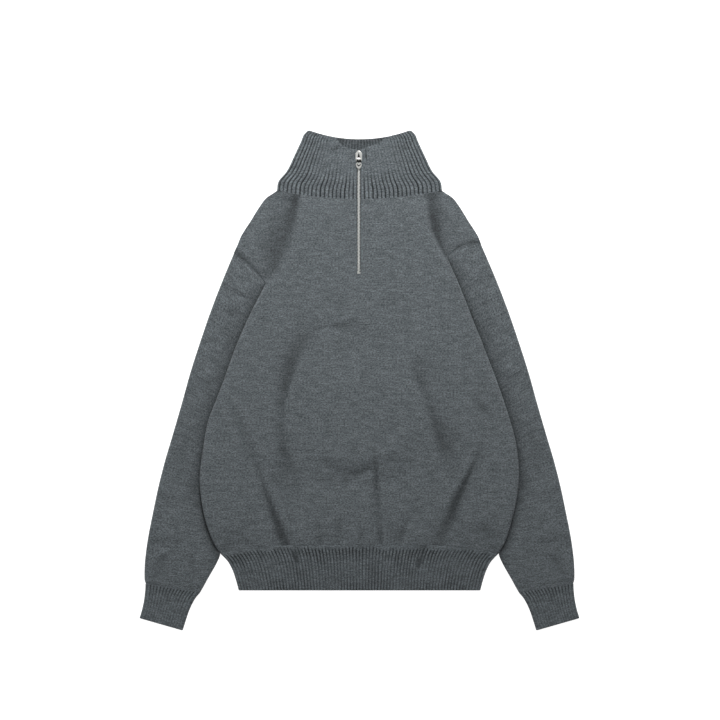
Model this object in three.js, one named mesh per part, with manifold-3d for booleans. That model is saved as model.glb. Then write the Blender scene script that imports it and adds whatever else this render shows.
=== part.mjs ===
// A quarter zip sweater in plain and ribbed knit, laid flat on its back with its arms beside the body.
// Millimetres: +X to the right of the view from above, +Y to the collar, +Z off the surface under it.
// Left is -X and right is +X. The origin is the middle of the outline, on that surface.
import * as THREE from "three";
import { mergeVertices } from "three/addons/utils/BufferGeometryUtils.js";
import Module from "manifold-3d";

const wasm = await Module();
wasm.setup();

// Cloth
const SEAM_GAP = 0.3;
const JERSEY_WALL = 2.4;
const RIB_RISE = 0.9;
const BAND_WALL = 3;
const BAND_HOLLOW = 0.4;
const BAND_FURROW = 2.3;

// Body: the front's two main levels, on the back panel and on the arms that are tucked under it
const BACK_LIFT = 5.9;
const FRONT_LEVEL = 8.3;
const FRONT_ON_ARM = 12.4;
const FRONT_AT_HEM = 6.4;
const FRONT_AT_ZIP = 7;
const FRONT_AT_SHOULDER = 5.2;
const LAYER_GAP = 0.35;
const RAMP_FROM = -11;
const RAMP_TO = 0;
const FRONT_RAMP_FROM = -75;
const FRONT_RAMP_TO = -5;
const LIFT_MARGIN = 6;

// Arms: heights of a sleeve's upper face, and the way that its top is moved off the armhole seam
const ARM_AT_SEAM = 6.8;
const ARM_SQUASHED = 5.3;
const ARM_NEAR_SEAM = 7.8;
const AWAY_FROM_SEAM = [0.75, -0.66];
const CUFF_HEIGHT = 8;
const CUFF_RIBS = 15;

// Zip
const ZIP_X = -1.2;
const SLIT_HALF = 3.1;
const SLIT_END = 181;
const TEETH_HALF = 2.75;
const TEETH_Z = 4.6;
const TEETH_THICK = 2;
const TEETH_TOP = 386;
const TAPE_WIDTH = 12;
const TAPE_THICK = 0.9;
const TAPE_END = 174;
const TAPE_TOP = 387.5;

// Collar
const COLLAR_BASE = 322;
const COLLAR_TOP = 424;
const COLLAR_RADIUS = 3.9;
const COLLAR_FOLD_ANGLES = [55, 20, -20, -55];
const COLLAR_FOLD_ANGLES_INSIDE = [30, -30];
const COLLAR_BACK_COLUMNS = 10;
const COLLAR_HOLLOW = 0.8;
const COLLAR_HALF_RIBS = 19;
const FRONT_NECK_DROP = 15;
const BACK_NECK_RISE = 4;
const FRONT_TOP_DROP = 36;
const FRONT_TOP_CURVE = 1.2;
const BACK_TOP_DROP = 12;
const NECK_HALF = 140.3;

// Hem
const HEM_SEAM = -293;
const HEM_SEAM_RISE = 7;
const HEM_END = -356;
const HEM_RIBS = 80;

// Free edge of the body, which lies on the arms: distance from the middle on either side
const BODY_EDGE = [
  { y: -293, left: 237, right: 237 },
  { y: -271, left: 249, right: 248 },
  { y: -237, left: 261, right: 258 },
  { y: -203, left: 268, right: 266 },
  { y: -169, left: 271, right: 270 },
  { y: -135, left: 268, right: 269 },
  { y: -101, left: 263, right: 264 },
  { y: -67, left: 256, right: 255 },
  { y: -33, left: 243, right: 244 },
  { y: 1, left: 230, right: 232 },
  { y: 35, left: 218, right: 219 },
  { y: 69, left: 205, right: 206 },
  { y: 103, left: 190, right: 192 },
  { y: 137, left: 173, right: 179 },
  { y: 164, left: 159, right: 168 },
  { y: 208, left: 137, right: 149 },
];

// Armhole seam of each side: its top on the shoulder, where the body's free edge meets it, and the underarm
const ARMHOLE = {
  left: { top: [213.4, 216], fold: [159, 164], under: [115, 48] },
  right: { top: [206.6, 231], fold: [149, 208], under: [115, 48] },
};
const ARMHOLE_STEPS = 12;
const FOLD_STEP = 5;

// Shoulder from the armhole seam up to the collar
const SHOULDER = [
  { y: 216, x: 213.4 },
  { y: 231, x: 206.6 },
  { y: 244, x: 201.5 },
  { y: 258, x: 193 },
  { y: 271, x: 184.5 },
  { y: 285, x: 176 },
  { y: 298, x: 167.5 },
  { y: 312, x: 155.6 },
  { y: 321, x: 140.3 },
];

// Rings of a sleeve below the armhole seam, from its outer edge to its inner one
const SLEEVE_RINGS = [
  { outerX: 230, outerY: 176, innerX: 117, innerY: 18, bow: 0.6, height: 7.8 },
  { outerX: 251, outerY: 122, innerX: 121, innerY: -8, bow: 0.3, height: 8.4 },
  { outerX: 270, outerY: 67, innerX: 127, innerY: -33, bow: 0.1, height: 8.4 },
  { outerX: 287, outerY: 14, innerX: 139, innerY: -73, bow: 0, height: 8.4 },
  { outerX: 302, outerY: -40, innerX: 158, innerY: -115, bow: 0, height: 8.4 },
  { outerX: 318, outerY: -95, innerX: 181, innerY: -155, bow: 0, height: 8.4 },
  { outerX: 331, outerY: -139, innerX: 203, innerY: -190, bow: 0, height: 8.4 },
  { outerX: 342, outerY: -183, innerX: 221, innerY: -220, bow: 0, height: 8.4 },
  { outerX: 351, outerY: -226, innerX: 235, innerY: -250, bow: 0, height: 8.4 },
  { outerX: 359, outerY: -267, innerX: 246, innerY: -278, bow: 0, height: 8.4 },
  { outerX: 364, outerY: -305, innerX: 244, innerY: -306, bow: 0, height: 8.4 },
  { outerX: 365, outerY: -334, innerX: 260, innerY: -341, bow: 0, height: 8.2 },
  { outerX: 363, outerY: -344, innerX: 275, innerY: -359, bow: 0, height: 7.6 },
];

// Rings of a cuff from its seam to its open end
const CUFF_RINGS = [
  { outerX: 363, outerY: -344.4, innerX: 275, innerY: -359.4 },
  { outerX: 365, outerY: -356, innerX: 281, innerY: -371 },
  { outerX: 368, outerY: -374, innerX: 289, innerY: -389 },
  { outerX: 372, outerY: -390, innerX: 296, innerY: -408 },
  { outerX: 375, outerY: -403, innerX: 302, innerY: -424 },
];

// Half width of the hem band from its seam to its end, and of the collar from its seam to its top
const HEM_SIDE = [
  { down: 0, half: 237 },
  { down: 0.13, half: 225.5 },
  { down: 0.37, half: 217.5 },
  { down: 0.7, half: 210 },
  { down: 1, half: 205 },
];
const COLLAR_SIDE = [
  { up: 0, half: 140.3 },
  { up: 0.17, half: 136.9 },
  { up: 0.3, half: 125 },
  { up: 0.57, half: 111.4 },
  { up: 0.83, half: 99.5 },
  { up: 1, half: 96 },
];

// Main folds of the front: the curve of each, how far it spreads, and how deep it is or how high, if below 0
const FOLDS = [
  { fromX: 112, fromY: -296, bendX: 172, bendY: -226, toX: 190, toY: -140, spread: 12, depth: 3 },
  { fromX: -122, fromY: -296, bendX: -146, bendY: -222, toX: -184, toY: -115, spread: 12, depth: 2.6 },
  { fromX: -104, fromY: 5, bendX: -126, bendY: -60, toX: -136, toY: -146, spread: 22, depth: 1.6 },
  { fromX: 100, fromY: 5, bendX: 148, bendY: -62, toX: 151, toY: -152, spread: 22, depth: 1.6 },
  { fromX: 30, fromY: -130, bendX: 40, bendY: -200, toX: 38, toY: -284, spread: 11, depth: 1.5 },
  { fromX: 64, fromY: -286, bendX: 74, bendY: -254, toX: 96, toY: -226, spread: 10, depth: 1.4 },
  { fromX: -104, fromY: -160, bendX: -10, bendY: -176, toX: 72, toY: -162, spread: 18, depth: 1.4 },
  { fromX: -100, fromY: -122, bendX: -10, bendY: -134, toX: 74, toY: -122, spread: 18, depth: -0.9 },
  { fromX: -102, fromY: 78, bendX: -60, bendY: 84, toX: -22, toY: 68, spread: 14, depth: 0.9 },
];

// Front panel: how far its first columns are from its free edge and how much lower, and the columns beyond
const EDGE_COLUMNS = [0, 2, 4.5, 7.5, 11, 15, 20];
const EDGE_DROPS = [1.2, 0.7, 0.25, 0, 0, 0, 0];
const EDGE_DROP_FADE = 0.15;
const EDGE_THINNER = 0.8;
const CHEST_COLUMNS = 14;
const ROWS_BELOW = 20;
const ROW_CROWDING = 0.35;
const FOLD_TOP_X = 104;
const CORNER_SAG = 5.7;

// Heights of the front's face along the armhole seam and in the valley beside it
const SEAM_AT_FOLD = 11.2;
const SEAM_SETTLED = 7.6;
const VALLEY_AT_FOLD = 11.8;
const VALLEY_SETTLED = 6.4;
const SEAM_BULGE = 0.6;

// How far the front's height eases in, up from the hem seam and beside the zip
const HEM_REACH = 45;
const ZIP_REACH = 30;
const ZIP_REACH_BELOW = 40;

const clamp01 = (t) => Math.min(1, Math.max(0, t));
const mix = (a, b, t) => a + (b - a) * t;
const ease = (t) => clamp01(t) ** 2 * (3 - 2 * clamp01(t));
const steps = (count) => Array.from({ length: count + 1 }, (_, i) => i / count);
const signOf = (side) => (side === "left" ? -1 : 1);

// One column of a table at a place between its rows, on a smooth curve through them.
function tableAt(table, key, column, at) {
  const last = table.length - 1;
  const direction = Math.sign(table[last][key] - table[0][key]);
  let i = 0;
  while (i < last - 1 && (at - table[i + 1][key]) * direction > 0) i++;
  const slope = (j) => {
    const before = table[Math.max(0, j - 1)];
    const after = table[Math.min(last, j + 1)];
    return (after[column] - before[column]) / (after[key] - before[key]);
  };
  const step = table[i + 1][key] - table[i][key];
  const t = clamp01((at - table[i][key]) / step);
  const a = table[i][column];
  const b = table[i + 1][column];
  const bend = t * (1 - t) * step * (slope(i) * (1 - t) - slope(i + 1) * t);
  return mix(a, b, ease(t)) + bend;
}

// A solid wall between an outer and an inner skin, each an array of rows of [x, y, z]. Both skins have as many
// rows, with columns at the places outerAt and innerAt from 0 to 1. A closed wall is a tube. Skins with the
// same columns need no places, and may leave cells out with the function gone.
function wall({ outer, inner, outerAt, innerAt, closed = false, gone = () => false }) {
  const rows = outer.length;
  const position = [];
  const index = [];
  const first = { outer: 0, inner: rows * outer[0].length };
  for (const skin of [outer, inner]) for (const row of skin) for (const p of row) position.push(...p);
  const vertex = (skin, grid, r, c) => first[skin] + r * grid[0].length + (c % grid[0].length);
  const onOuter = (r, c) => vertex("outer", outer, r, c);
  const onInner = (r, c) => vertex("inner", inner, r, c);
  const spans = (grid) => grid[0].length - (closed ? 0 : 1);
  const quad = (a, b, c, d) => index.push(a, b, c, a, c, d);

  for (let r = 0; r + 1 < rows; r++) {
    for (let c = 0; c < spans(outer); c++) {
      if (gone(r, c)) continue;
      quad(onOuter(r, c), onOuter(r, c + 1), onOuter(r + 1, c + 1), onOuter(r + 1, c));
    }
    for (let c = 0; c < spans(inner); c++) {
      if (gone(r, c)) continue;
      quad(onInner(r + 1, c), onInner(r + 1, c + 1), onInner(r, c + 1), onInner(r, c));
    }
  }

  if (outerAt) {
    rim(0, false);
    rim(rows - 1, true);
    if (!closed) {
      const lastOuter = outer[0].length - 1;
      const lastInner = inner[0].length - 1;
      for (let r = 0; r + 1 < rows; r++) {
        quad(onOuter(r, 0), onOuter(r + 1, 0), onInner(r + 1, 0), onInner(r, 0));
        quad(
          onOuter(r + 1, lastOuter),
          onOuter(r, lastOuter),
          onInner(r, lastInner),
          onInner(r + 1, lastInner),
        );
      }
    }
  } else {
    const missing = (r, c) => r < 0 || c < 0 || r >= rows - 1 || c >= spans(outer) || gone(r, c);
    const edge = (r0, c0, r1, c1) =>
      quad(onOuter(r1, c1), onOuter(r0, c0), onInner(r0, c0), onInner(r1, c1));
    for (let r = 0; r + 1 < rows; r++)
      for (let c = 0; c < spans(outer); c++) {
        if (gone(r, c)) continue;
        if (missing(r - 1, c)) edge(r, c, r, c + 1);
        if (missing(r + 1, c)) edge(r + 1, c + 1, r + 1, c);
        if (missing(r, c - 1)) edge(r + 1, c, r, c);
        if (missing(r, c + 1)) edge(r, c + 1, r + 1, c + 1);
      }
  }

  // Fills the edge between the two skins along one row, whatever their numbers of columns.
  function rim(r, turned) {
    const triangle = (a, b, c) => (turned ? index.push(a, c, b) : index.push(a, b, c));
    let i = 0;
    let j = 0;
    while (i < spans(outer) || j < spans(inner)) {
      const outerNext = i < spans(outer) ? (outerAt[i + 1] ?? 1) : Infinity;
      const innerNext = j < spans(inner) ? (innerAt[j + 1] ?? 1) : Infinity;
      if (outerNext <= innerNext) {
        triangle(onOuter(r, i + 1), onOuter(r, i), onInner(r, j));
        i++;
      } else {
        triangle(onInner(r, j), onInner(r, j + 1), onOuter(r, i));
        j++;
      }
    }
  }

  const geometry = new THREE.BufferGeometry();
  geometry.setAttribute("position", new THREE.Float32BufferAttribute(position, 3));
  geometry.setIndex(volumeOf(position, index) < 0 ? index.reverse() : index);
  geometry.computeVertexNormals();
  return geometry;
}

// Places from 0 to 1 of the points of a row, by the length along it.
function placesAlong(row) {
  const length = [0];
  for (let i = 1; i < row.length; i++)
    length.push(length.at(-1) + Math.hypot(row[i][0] - row[i - 1][0], row[i][2] - row[i - 1][2]));
  return length.map((l) => l / length.at(-1));
}

// Six times the volume that a closed surface bounds, below 0 where its faces point inwards.
function volumeOf(position, index) {
  const corner = (i) => new THREE.Vector3(...position.slice(3 * index[i], 3 * index[i] + 3));
  let sum = 0;
  for (let i = 0; i < index.length; i += 3) sum += corner(i).dot(corner(i + 1).cross(corner(i + 2)));
  return sum;
}

// Columns across ribs, from furrow to furrow: each rib's place and how much of its rise a column has.
function ribColumns(count, crests) {
  const columns = [];
  for (let rib = 0; rib < count; rib++) {
    columns.push({ at: rib / count, rise: 0 });
    for (const crest of crests) columns.push({ at: (rib + crest) / count, rise: 1 });
  }
  columns.push({ at: 1, rise: 0 });
  return columns;
}

// Armhole seam of a side at t from 0 on the shoulder to 1 at the underarm, as [x, y].
function armhole(side, t) {
  const { top, fold, under } = ARMHOLE[side];
  const s = FOLD_STEP / ARMHOLE_STEPS;
  return [0, 1].map((axis) => {
    const bend = (fold[axis] - (1 - s) ** 2 * top[axis] - s ** 2 * under[axis]) / (2 * s * (1 - s));
    const value = (1 - t) ** 2 * top[axis] + 2 * t * (1 - t) * bend + t ** 2 * under[axis];
    return axis === 0 ? signOf(side) * value : value;
  });
}

const bodyEdge = (side, y) => tableAt(BODY_EDGE, "y", side, y);
const frontNeck = (x) => COLLAR_BASE - FRONT_NECK_DROP * (1 - (x / NECK_HALF) ** 2);
const backNeck = (x) => COLLAR_BASE + BACK_NECK_RISE * (1 - (x / NECK_HALF) ** 2);
const hemSeam = (x) => HEM_SEAM + HEM_SEAM_RISE * (1 - (x / BODY_EDGE[0].left) ** 2);

// Inner edge of the tucked arms, as a distance from the middle at a height on the body.
function armInnerEdge(y) {
  const places = [{ innerX: 115, innerY: 48 }, ...SLEEVE_RINGS];
  let i = 0;
  while (i < places.length - 2 && places[i + 1].innerY > y) i++;
  const { innerX: x0, innerY: y0 } = places[i];
  const { innerX: x1, innerY: y1 } = places[i + 1];
  return mix(x0, x1, clamp01((y - y0) / (y1 - y0)));
}

// How far the back panel is lifted where it climbs on a tucked arm.
function backLift(x, y) {
  const over = Math.abs(x) - armInnerEdge(y);
  return BACK_LIFT * ease((over - RAMP_FROM) / (RAMP_TO - RAMP_FROM));
}

// Sum of the folds at a place on the front.
function foldRelief(x, y) {
  let relief = 0;
  for (const fold of FOLDS) {
    let nearest = Infinity;
    let along = 0;
    for (const t of steps(16)) {
      const px = (1 - t) ** 2 * fold.fromX + 2 * t * (1 - t) * fold.bendX + t ** 2 * fold.toX;
      const py = (1 - t) ** 2 * fold.fromY + 2 * t * (1 - t) * fold.bendY + t ** 2 * fold.toY;
      const distance = Math.hypot(x - px, y - py);
      if (distance < nearest) {
        nearest = distance;
        along = t;
      }
    }
    const fade = 0.25 + 0.75 * Math.sin(Math.PI * clamp01(along + 0.2 * (1 - 2 * along)));
    relief -= fold.depth * fade * Math.exp(-((nearest / fold.spread) ** 2));
  }
  return relief;
}

// Distance from the middle to where the front starts down from the level that it has on an arm.
function supportEdge(y) {
  const { fold, under } = ARMHOLE.left;
  if (y < under[1]) return armInnerEdge(y);
  if (y < fold[1]) return mix(under[0], fold[0], (y - under[1]) / (fold[1] - under[1]));
  return mix(fold[0], FOLD_TOP_X, clamp01((y - fold[1]) / (COLLAR_BASE - fold[1])));
}

// Lowest that the front's face can be at a place, just clear of the back panel.
function frontFloor(x, y) {
  const outward = x + Math.sign(x) * LIFT_MARGIN;
  const lift = Math.max(backLift(outward, y), backLift(outward, y + 2 * LIFT_MARGIN));
  return JERSEY_WALL + lift + LAYER_GAP + JERSEY_WALL;
}

// Height of the front's face at a place, away from its edges.
function frontFace(x, y) {
  const { fold } = ARMHOLE.left;
  const nearHem = ease((y - HEM_SEAM) / HEM_REACH);
  const nearNeck = 1 - 0.75 * ease((y - fold[1]) / (COLLAR_BASE - fold[1]));
  const over = Math.abs(x) - supportEdge(y);
  const climb = ease((over - FRONT_RAMP_FROM) / (FRONT_RAMP_TO - FRONT_RAMP_FROM));
  const besideZip = ease(1.6 - Math.abs(x - ZIP_X) / ZIP_REACH);
  const nearZip = besideZip * ease(1 + (y - SLIT_END) / ZIP_REACH_BELOW);
  const level = mix(FRONT_AT_HEM, FRONT_LEVEL, nearHem);
  const raised = level + climb * nearHem * nearNeck * (FRONT_ON_ARM - FRONT_LEVEL);
  const face = mix(raised, FRONT_AT_ZIP, nearZip) + foldRelief(x, y) * (1 - nearZip);
  return Math.max(face, frontFloor(x, y));
}

const knit = new THREE.MeshStandardMaterial({ color: 0x5b6164, roughness: 0.95, metalness: 0 });
const ribKnit = new THREE.MeshStandardMaterial({ color: 0x53595c, roughness: 0.95, metalness: 0 });
const tapeCloth = new THREE.MeshStandardMaterial({ color: 0x4a5053, roughness: 0.85, metalness: 0 });
const metal = new THREE.MeshStandardMaterial({ color: 0xc4c6c3, roughness: 0.28, metalness: 1 });

const sweater = new THREE.Group();

function add(name, geometry, material, parent = sweater) {
  const mesh = new THREE.Mesh(geometry, material);
  mesh.name = name;
  parent.add(mesh);
  return mesh;
}

// Points across a row of the front below the fold corners, at t from 0 on the hem seam to 1 at the corners.
function lowerFrontRow(t) {
  const end = (side) => {
    const y = mix(HEM_SEAM, ARMHOLE[side].fold[1], t);
    return { x: signOf(side) * bodyEdge(side, y), y };
  };
  const left = end("left");
  const right = end("right");
  const rise = HEM_SEAM_RISE * (1 - ease(t / 0.3)) - CORNER_SAG * ease((t - 0.6) / 0.4);
  const at = (x) => {
    const across = (x - left.x) / (right.x - left.x);
    return [x, mix(left.y, right.y, across) + rise * 4 * across * (1 - across)];
  };
  const inset = EDGE_COLUMNS.at(-1);
  const chest = steps(CHEST_COLUMNS).slice(1);
  return [
    ...EDGE_COLUMNS.map((d) => at(left.x + d)),
    ...chest.map((f) => at(mix(left.x + inset, ZIP_X - SLIT_HALF, f))),
    ...chest.map((f) => at(mix(right.x - inset, ZIP_X + SLIT_HALF, f))).reverse(),
    ...EDGE_COLUMNS.map((d) => at(right.x - d)).reverse(),
  ];
}

// Points along the front's top, from one armhole seam over the shoulder, the neck and the other shoulder.
function frontTopRow() {
  const half = (side) => {
    const low = ARMHOLE[side].top[1];
    const high = SHOULDER.at(-1).y;
    const shoulder = steps(4).map((t) => {
      const y = mix(low, high, t);
      return [signOf(side) * tableAt(SHOULDER, "y", "x", y), y];
    });
    const neckX = [mix(NECK_HALF, FOLD_TOP_X, 0.5), FOLD_TOP_X].map((x) => signOf(side) * x);
    const slit = ZIP_X + signOf(side) * SLIT_HALF;
    for (const f of steps(CHEST_COLUMNS).slice(1)) neckX.push(mix(signOf(side) * FOLD_TOP_X, slit, f));
    return [...shoulder, ...neckX.map((x) => [x, frontNeck(x) - SEAM_GAP])];
  };
  return [...half("left"), ...half("right").reverse()];
}

function makeFront() {
  const corners = lowerFrontRow(1);
  const top = frontTopRow();
  const last = corners.length - 1;
  const bandEnd = EDGE_COLUMNS.length - 1;
  const outer = [];
  const inner = [];

  for (const even of steps(ROWS_BELOW)) {
    const t = even - ROW_CROWDING * even * (1 - even);
    const row = lowerFrontRow(t);
    outer.push([]);
    inner.push([]);
    row.forEach(([x, y], c) => {
      const fromEdge = Math.min(c, last - c);
      const drop = EDGE_DROPS[Math.min(fromEdge, bandEnd)] * ease(t / EDGE_DROP_FADE);
      const thinner = fromEdge === 0 ? EDGE_THINNER : 0;
      const face = Math.max(frontFace(x, y) - drop - thinner, frontFloor(x, y) - thinner);
      outer.at(-1).push([x, y, face]);
      inner.at(-1).push([x, y, face - JERSEY_WALL + thinner]);
    });
  }

  for (let k = 1; k <= FOLD_STEP; k++) {
    const v = k / FOLD_STEP;
    outer.push([]);
    inner.push([]);
    corners.forEach(([cx, cy], c) => {
      const side = c <= last / 2 ? "left" : "right";
      const fromEdge = Math.min(c, last - c);
      const edge = side === "left" ? 0 : last;
      const seam = armhole(side, (FOLD_STEP - k) / ARMHOLE_STEPS);
      const pull = 1 - clamp01(fromEdge / bandEnd);
      const x = mix(cx, top[c][0], v) + pull * (seam[0] - mix(corners[edge][0], top[edge][0], v));
      const y = mix(cy, top[c][1], v) + pull * (seam[1] - mix(corners[edge][1], top[edge][1], v));
      const chestFace = frontFace(x, y);
      let face = chestFace;
      if (fromEdge < bandEnd) {
        const settled = ease(v * 2);
        const valley = mix(VALLEY_AT_FOLD, VALLEY_SETTLED, settled);
        const beside = mix(SEAM_AT_FOLD, SEAM_SETTLED, settled);
        const seamFace = mix(beside, FRONT_AT_SHOULDER, ease(v * 1.2 - 0.2));
        const across = fromEdge / (bandEnd - 1);
        const bulge = SEAM_BULGE * Math.sin(Math.PI * clamp01(across));
        face = mix(seamFace, valley, across) + bulge * settled;
      }
      if (k === FOLD_STEP) face = mix(FRONT_AT_SHOULDER, chestFace, ease((fromEdge - 4) / 6));
      outer.at(-1).push([x, y, face]);
      inner.at(-1).push([x, y, face - JERSEY_WALL]);
    });
  }

  const slitColumn = bandEnd + CHEST_COLUMNS;
  const gone = (r, c) => r >= ROWS_BELOW && c === slitColumn;
  add("front", wall({ outer, inner, gone }), knit);
}

// Back panel: its columns at the arms, as places over their inner edges, and the rows and columns elsewhere
const BACK_RAMP_COLUMNS = [3, -1, -5];
const BACK_COLUMN_STEP = 5;
const BACK_COLUMNS = 14;
const BACK_SHOULDER_COLUMNS = 4;
const BACK_ROWS_BELOW = 13;
const BACK_ROWS_ABOVE = 6;
const BACK_ROW_CROWDING = 1.6;
const BACK_HEM_RISE_REACH = 150;

function makeBack() {
  const underarm = ARMHOLE.left.under[1];
  const bandEnd = BACK_RAMP_COLUMNS.length;
  const lowRow = (y0) => {
    const half = (side) => {
      const edge = bodyEdge(side, y0);
      const arm = armInnerEdge(y0);
      const xs = [edge];
      for (const over of BACK_RAMP_COLUMNS) xs.push(Math.min(arm + over, xs.at(-1) - 2));
      return xs.map((x) => signOf(side) * x);
    };
    const left = half("left");
    const right = half("right");
    const middle = steps(BACK_COLUMNS)
      .slice(1, -1)
      .map((f) => mix(left.at(-1) + BACK_COLUMN_STEP, right.at(-1) - BACK_COLUMN_STEP, f));
    const xs = [...left, ...middle, ...right.reverse()];
    const rise = 1 - ease((y0 - HEM_SEAM) / BACK_HEM_RISE_REACH);
    return xs.map((x) => [x, y0 + rise * (hemSeam(x) - HEM_SEAM)]);
  };
  const rowU = lowRow(underarm);
  const last = rowU.length - 1;
  const lastMiddle = last - 2 * bandEnd;
  const top = (c) => {
    const i = c - bandEnd;
    const side = i <= lastMiddle / 2 ? "left" : "right";
    const fromEdge = Math.min(i, lastMiddle - i);
    if (fromEdge <= BACK_SHOULDER_COLUMNS) {
      const y = mix(ARMHOLE[side].top[1], SHOULDER.at(-1).y, fromEdge / BACK_SHOULDER_COLUMNS);
      return [signOf(side) * tableAt(SHOULDER, "y", "x", y), y];
    }
    const across = (i - BACK_SHOULDER_COLUMNS) / (lastMiddle - 2 * BACK_SHOULDER_COLUMNS);
    const x = mix(-NECK_HALF, NECK_HALF, across);
    return [x, backNeck(x) - SEAM_GAP];
  };

  const outer = [];
  const inner = [];
  const push = (points) => {
    outer.push(points.map(([x, y]) => [x, y, backLift(x, y)]));
    inner.push(points.map(([x, y]) => [x, y, backLift(x, y) + JERSEY_WALL]));
  };
  for (const t of steps(BACK_ROWS_BELOW)) push(lowRow(mix(HEM_SEAM, underarm, t ** BACK_ROW_CROWDING)));
  for (let k = 1; k <= BACK_ROWS_ABOVE; k++) {
    const v = k / BACK_ROWS_ABOVE;
    const points = rowU.map(([ux, uy], c) => {
      if (c < bandEnd || c > last - bandEnd) return [ux, uy + k];
      const side = c <= last / 2 ? "left" : "right";
      const fromEdge = Math.min(c - bandEnd, last - bandEnd - c);
      const edge = side === "left" ? bandEnd : last - bandEnd;
      const seam = armhole(side, 1 - v);
      const pull = 1 - clamp01(fromEdge / (BACK_SHOULDER_COLUMNS + 1));
      const [tx, ty] = top(c);
      const [ex, ey] = top(edge);
      return [
        mix(ux, tx, v) + pull * (seam[0] - mix(rowU[edge][0], ex, v)),
        mix(uy, ty, v) + pull * (seam[1] - mix(rowU[edge][1], ey, v)),
      ];
    });
    outer.push(points.map(([x, y]) => [x, y, 0]));
    inner.push(points.map(([x, y]) => [x, y, JERSEY_WALL]));
  }
  const gone = (r, c) => r >= BACK_ROWS_BELOW && (c < bandEnd || c >= last - bandEnd);
  add("back", wall({ outer, inner, gone }), knit);
}

// Height of a sleeve's upper face at a place: squashed under the body, fuller beside it.
function sleeveFace(side, x, y, height) {
  const clearOfBody = Math.abs(x) - bodyEdge(side, y);
  const { fold } = ARMHOLE[side];
  const hidden = mix(ARM_SQUASHED, ARM_NEAR_SEAM, ease((y - 65) / 75));
  if (y > fold[1]) return Math.min(height, ARM_NEAR_SEAM);
  return mix(hidden, height, ease((clearOfBody - 8) / 18));
}

// Section of a flattened tube, as places from its outer to its inner edge and round again. across is the plan
// distance from the outer edge, and up is 1 on the upper face, 0 at the edges and -1 underneath.
function tubeSection(width, radius, upper, lower) {
  const bend = [Math.SQRT1_2, 1];
  const near = (k) => radius * (1 - Math.sqrt(1 - k * k));
  return [
    { across: 0, up: 0 },
    ...bend.map((k) => ({ across: near(k), up: k })),
    ...upper.map((f) => ({ across: f * width, up: 1 })),
    ...bend.map((k) => ({ across: width - near(k), up: k })).reverse(),
    { across: width, up: 0 },
    ...bend.map((k) => ({ across: width - near(k), up: -k })),
    ...lower.map((f) => ({ across: f * width, up: -1 })),
    ...bend.map((k) => ({ across: near(k), up: -k })).reverse(),
  ];
}

function makeSleeve(side) {
  const upper = steps(ARMHOLE_STEPS).slice(1, -1);
  const lowerSteps = BACK_ROWS_ABOVE;
  const lower = steps(lowerSteps).slice(1, -1).reverse();
  const [topX, topY] = armhole(side, 0);
  const [underX, underY] = armhole(side, 1);
  const bowAt = (f, count) => {
    const k = Math.min(count - 1, Math.floor(clamp01(f) * count));
    const from = armhole(side, k / count);
    const to = armhole(side, (k + 1) / count);
    const t = f * count - k;
    return [mix(from[0], to[0], t) - mix(topX, underX, f), mix(from[1], to[1], t) - mix(topY, underY, f)];
  };
  const rings = [
    { outer: [topX, topY], inner: [underX, underY], bow: 1, height: ARM_AT_SEAM, shift: SEAM_GAP },
    ...SLEEVE_RINGS.map((ring) => ({
      outer: [signOf(side) * ring.outerX, ring.outerY],
      inner: [signOf(side) * ring.innerX, ring.innerY],
      bow: ring.bow,
      height: ring.height,
      shift: 0,
    })),
  ];
  const skin = (inset) =>
    rings.map(({ outer, inner, bow, height, shift }) => {
      const width = Math.hypot(inner[0] - outer[0], inner[1] - outer[1]);
      const radius = ARM_SQUASHED / 2 - inset;
      return tubeSection(width - 2 * inset, radius, upper, lower).map(({ across, up }) => {
        const f = (across + inset) / width;
        const [bowX, bowY] = bowAt(f, up < 0 ? lowerSteps : ARMHOLE_STEPS);
        const x = mix(outer[0], inner[0], f) + bow * bowX + shift * signOf(side) * AWAY_FROM_SEAM[0];
        const y = mix(outer[1], inner[1], f) + bow * bowY + shift * AWAY_FROM_SEAM[1];
        const face = sleeveFace(side, x, y, height);
        const middle = face / 2;
        return [x, y, middle + up * (middle - inset)];
      });
    });
  const outer = skin(0);
  const inner = skin(JERSEY_WALL);
  const at = outer[0].map((_, i) => i / outer[0].length);
  add("sleeve_" + side, wall({ outer, inner, outerAt: at, innerAt: at, closed: true }), knit);
}

function makeCuff(side) {
  const ribs = ribColumns(CUFF_RIBS, [0.3, 0.7]).slice(1, -1);
  const plain = steps(4).slice(1, -1);
  const firstUpper = 3;
  const skin = (inset, upper, rises) =>
    CUFF_RINGS.map((ring) => {
      const from = [signOf(side) * ring.outerX, ring.outerY];
      const to = [signOf(side) * ring.innerX, ring.innerY];
      const width = Math.hypot(to[0] - from[0], to[1] - from[1]);
      const radius = CUFF_HEIGHT / 2 - inset;
      const section = tubeSection(width - 2 * inset, radius, upper, plain.toReversed());
      return section.map(({ across, up }, i) => {
        const f = (across + inset) / width;
        const rise = rises?.[i - firstUpper] ?? 1;
        const middle = CUFF_HEIGHT / 2;
        const z = middle + up * (middle - inset) - (1 - rise) * RIB_RISE;
        return [mix(from[0], to[0], f), mix(from[1], to[1], f), z];
      });
    });
  const outer = skin(0, ribs.map((rib) => rib.at), ribs.map((rib) => rib.rise));
  const inner = skin(BAND_WALL, plain, null);
  const outerAt = placesAlong(outer[0]);
  const innerAt = placesAlong(inner[0]);
  add("cuff_" + side, wall({ outer, inner, outerAt, innerAt, closed: true }), ribKnit);
}

function hemPoint(across, down) {
  const half = tableAt(HEM_SIDE, "down", "half", down);
  const x = half * (2 * across - 1);
  const seamX = HEM_SIDE[0].half * (2 * across - 1);
  return [x, mix(hemSeam(seamX) - SEAM_GAP, HEM_END, down)];
}

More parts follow.
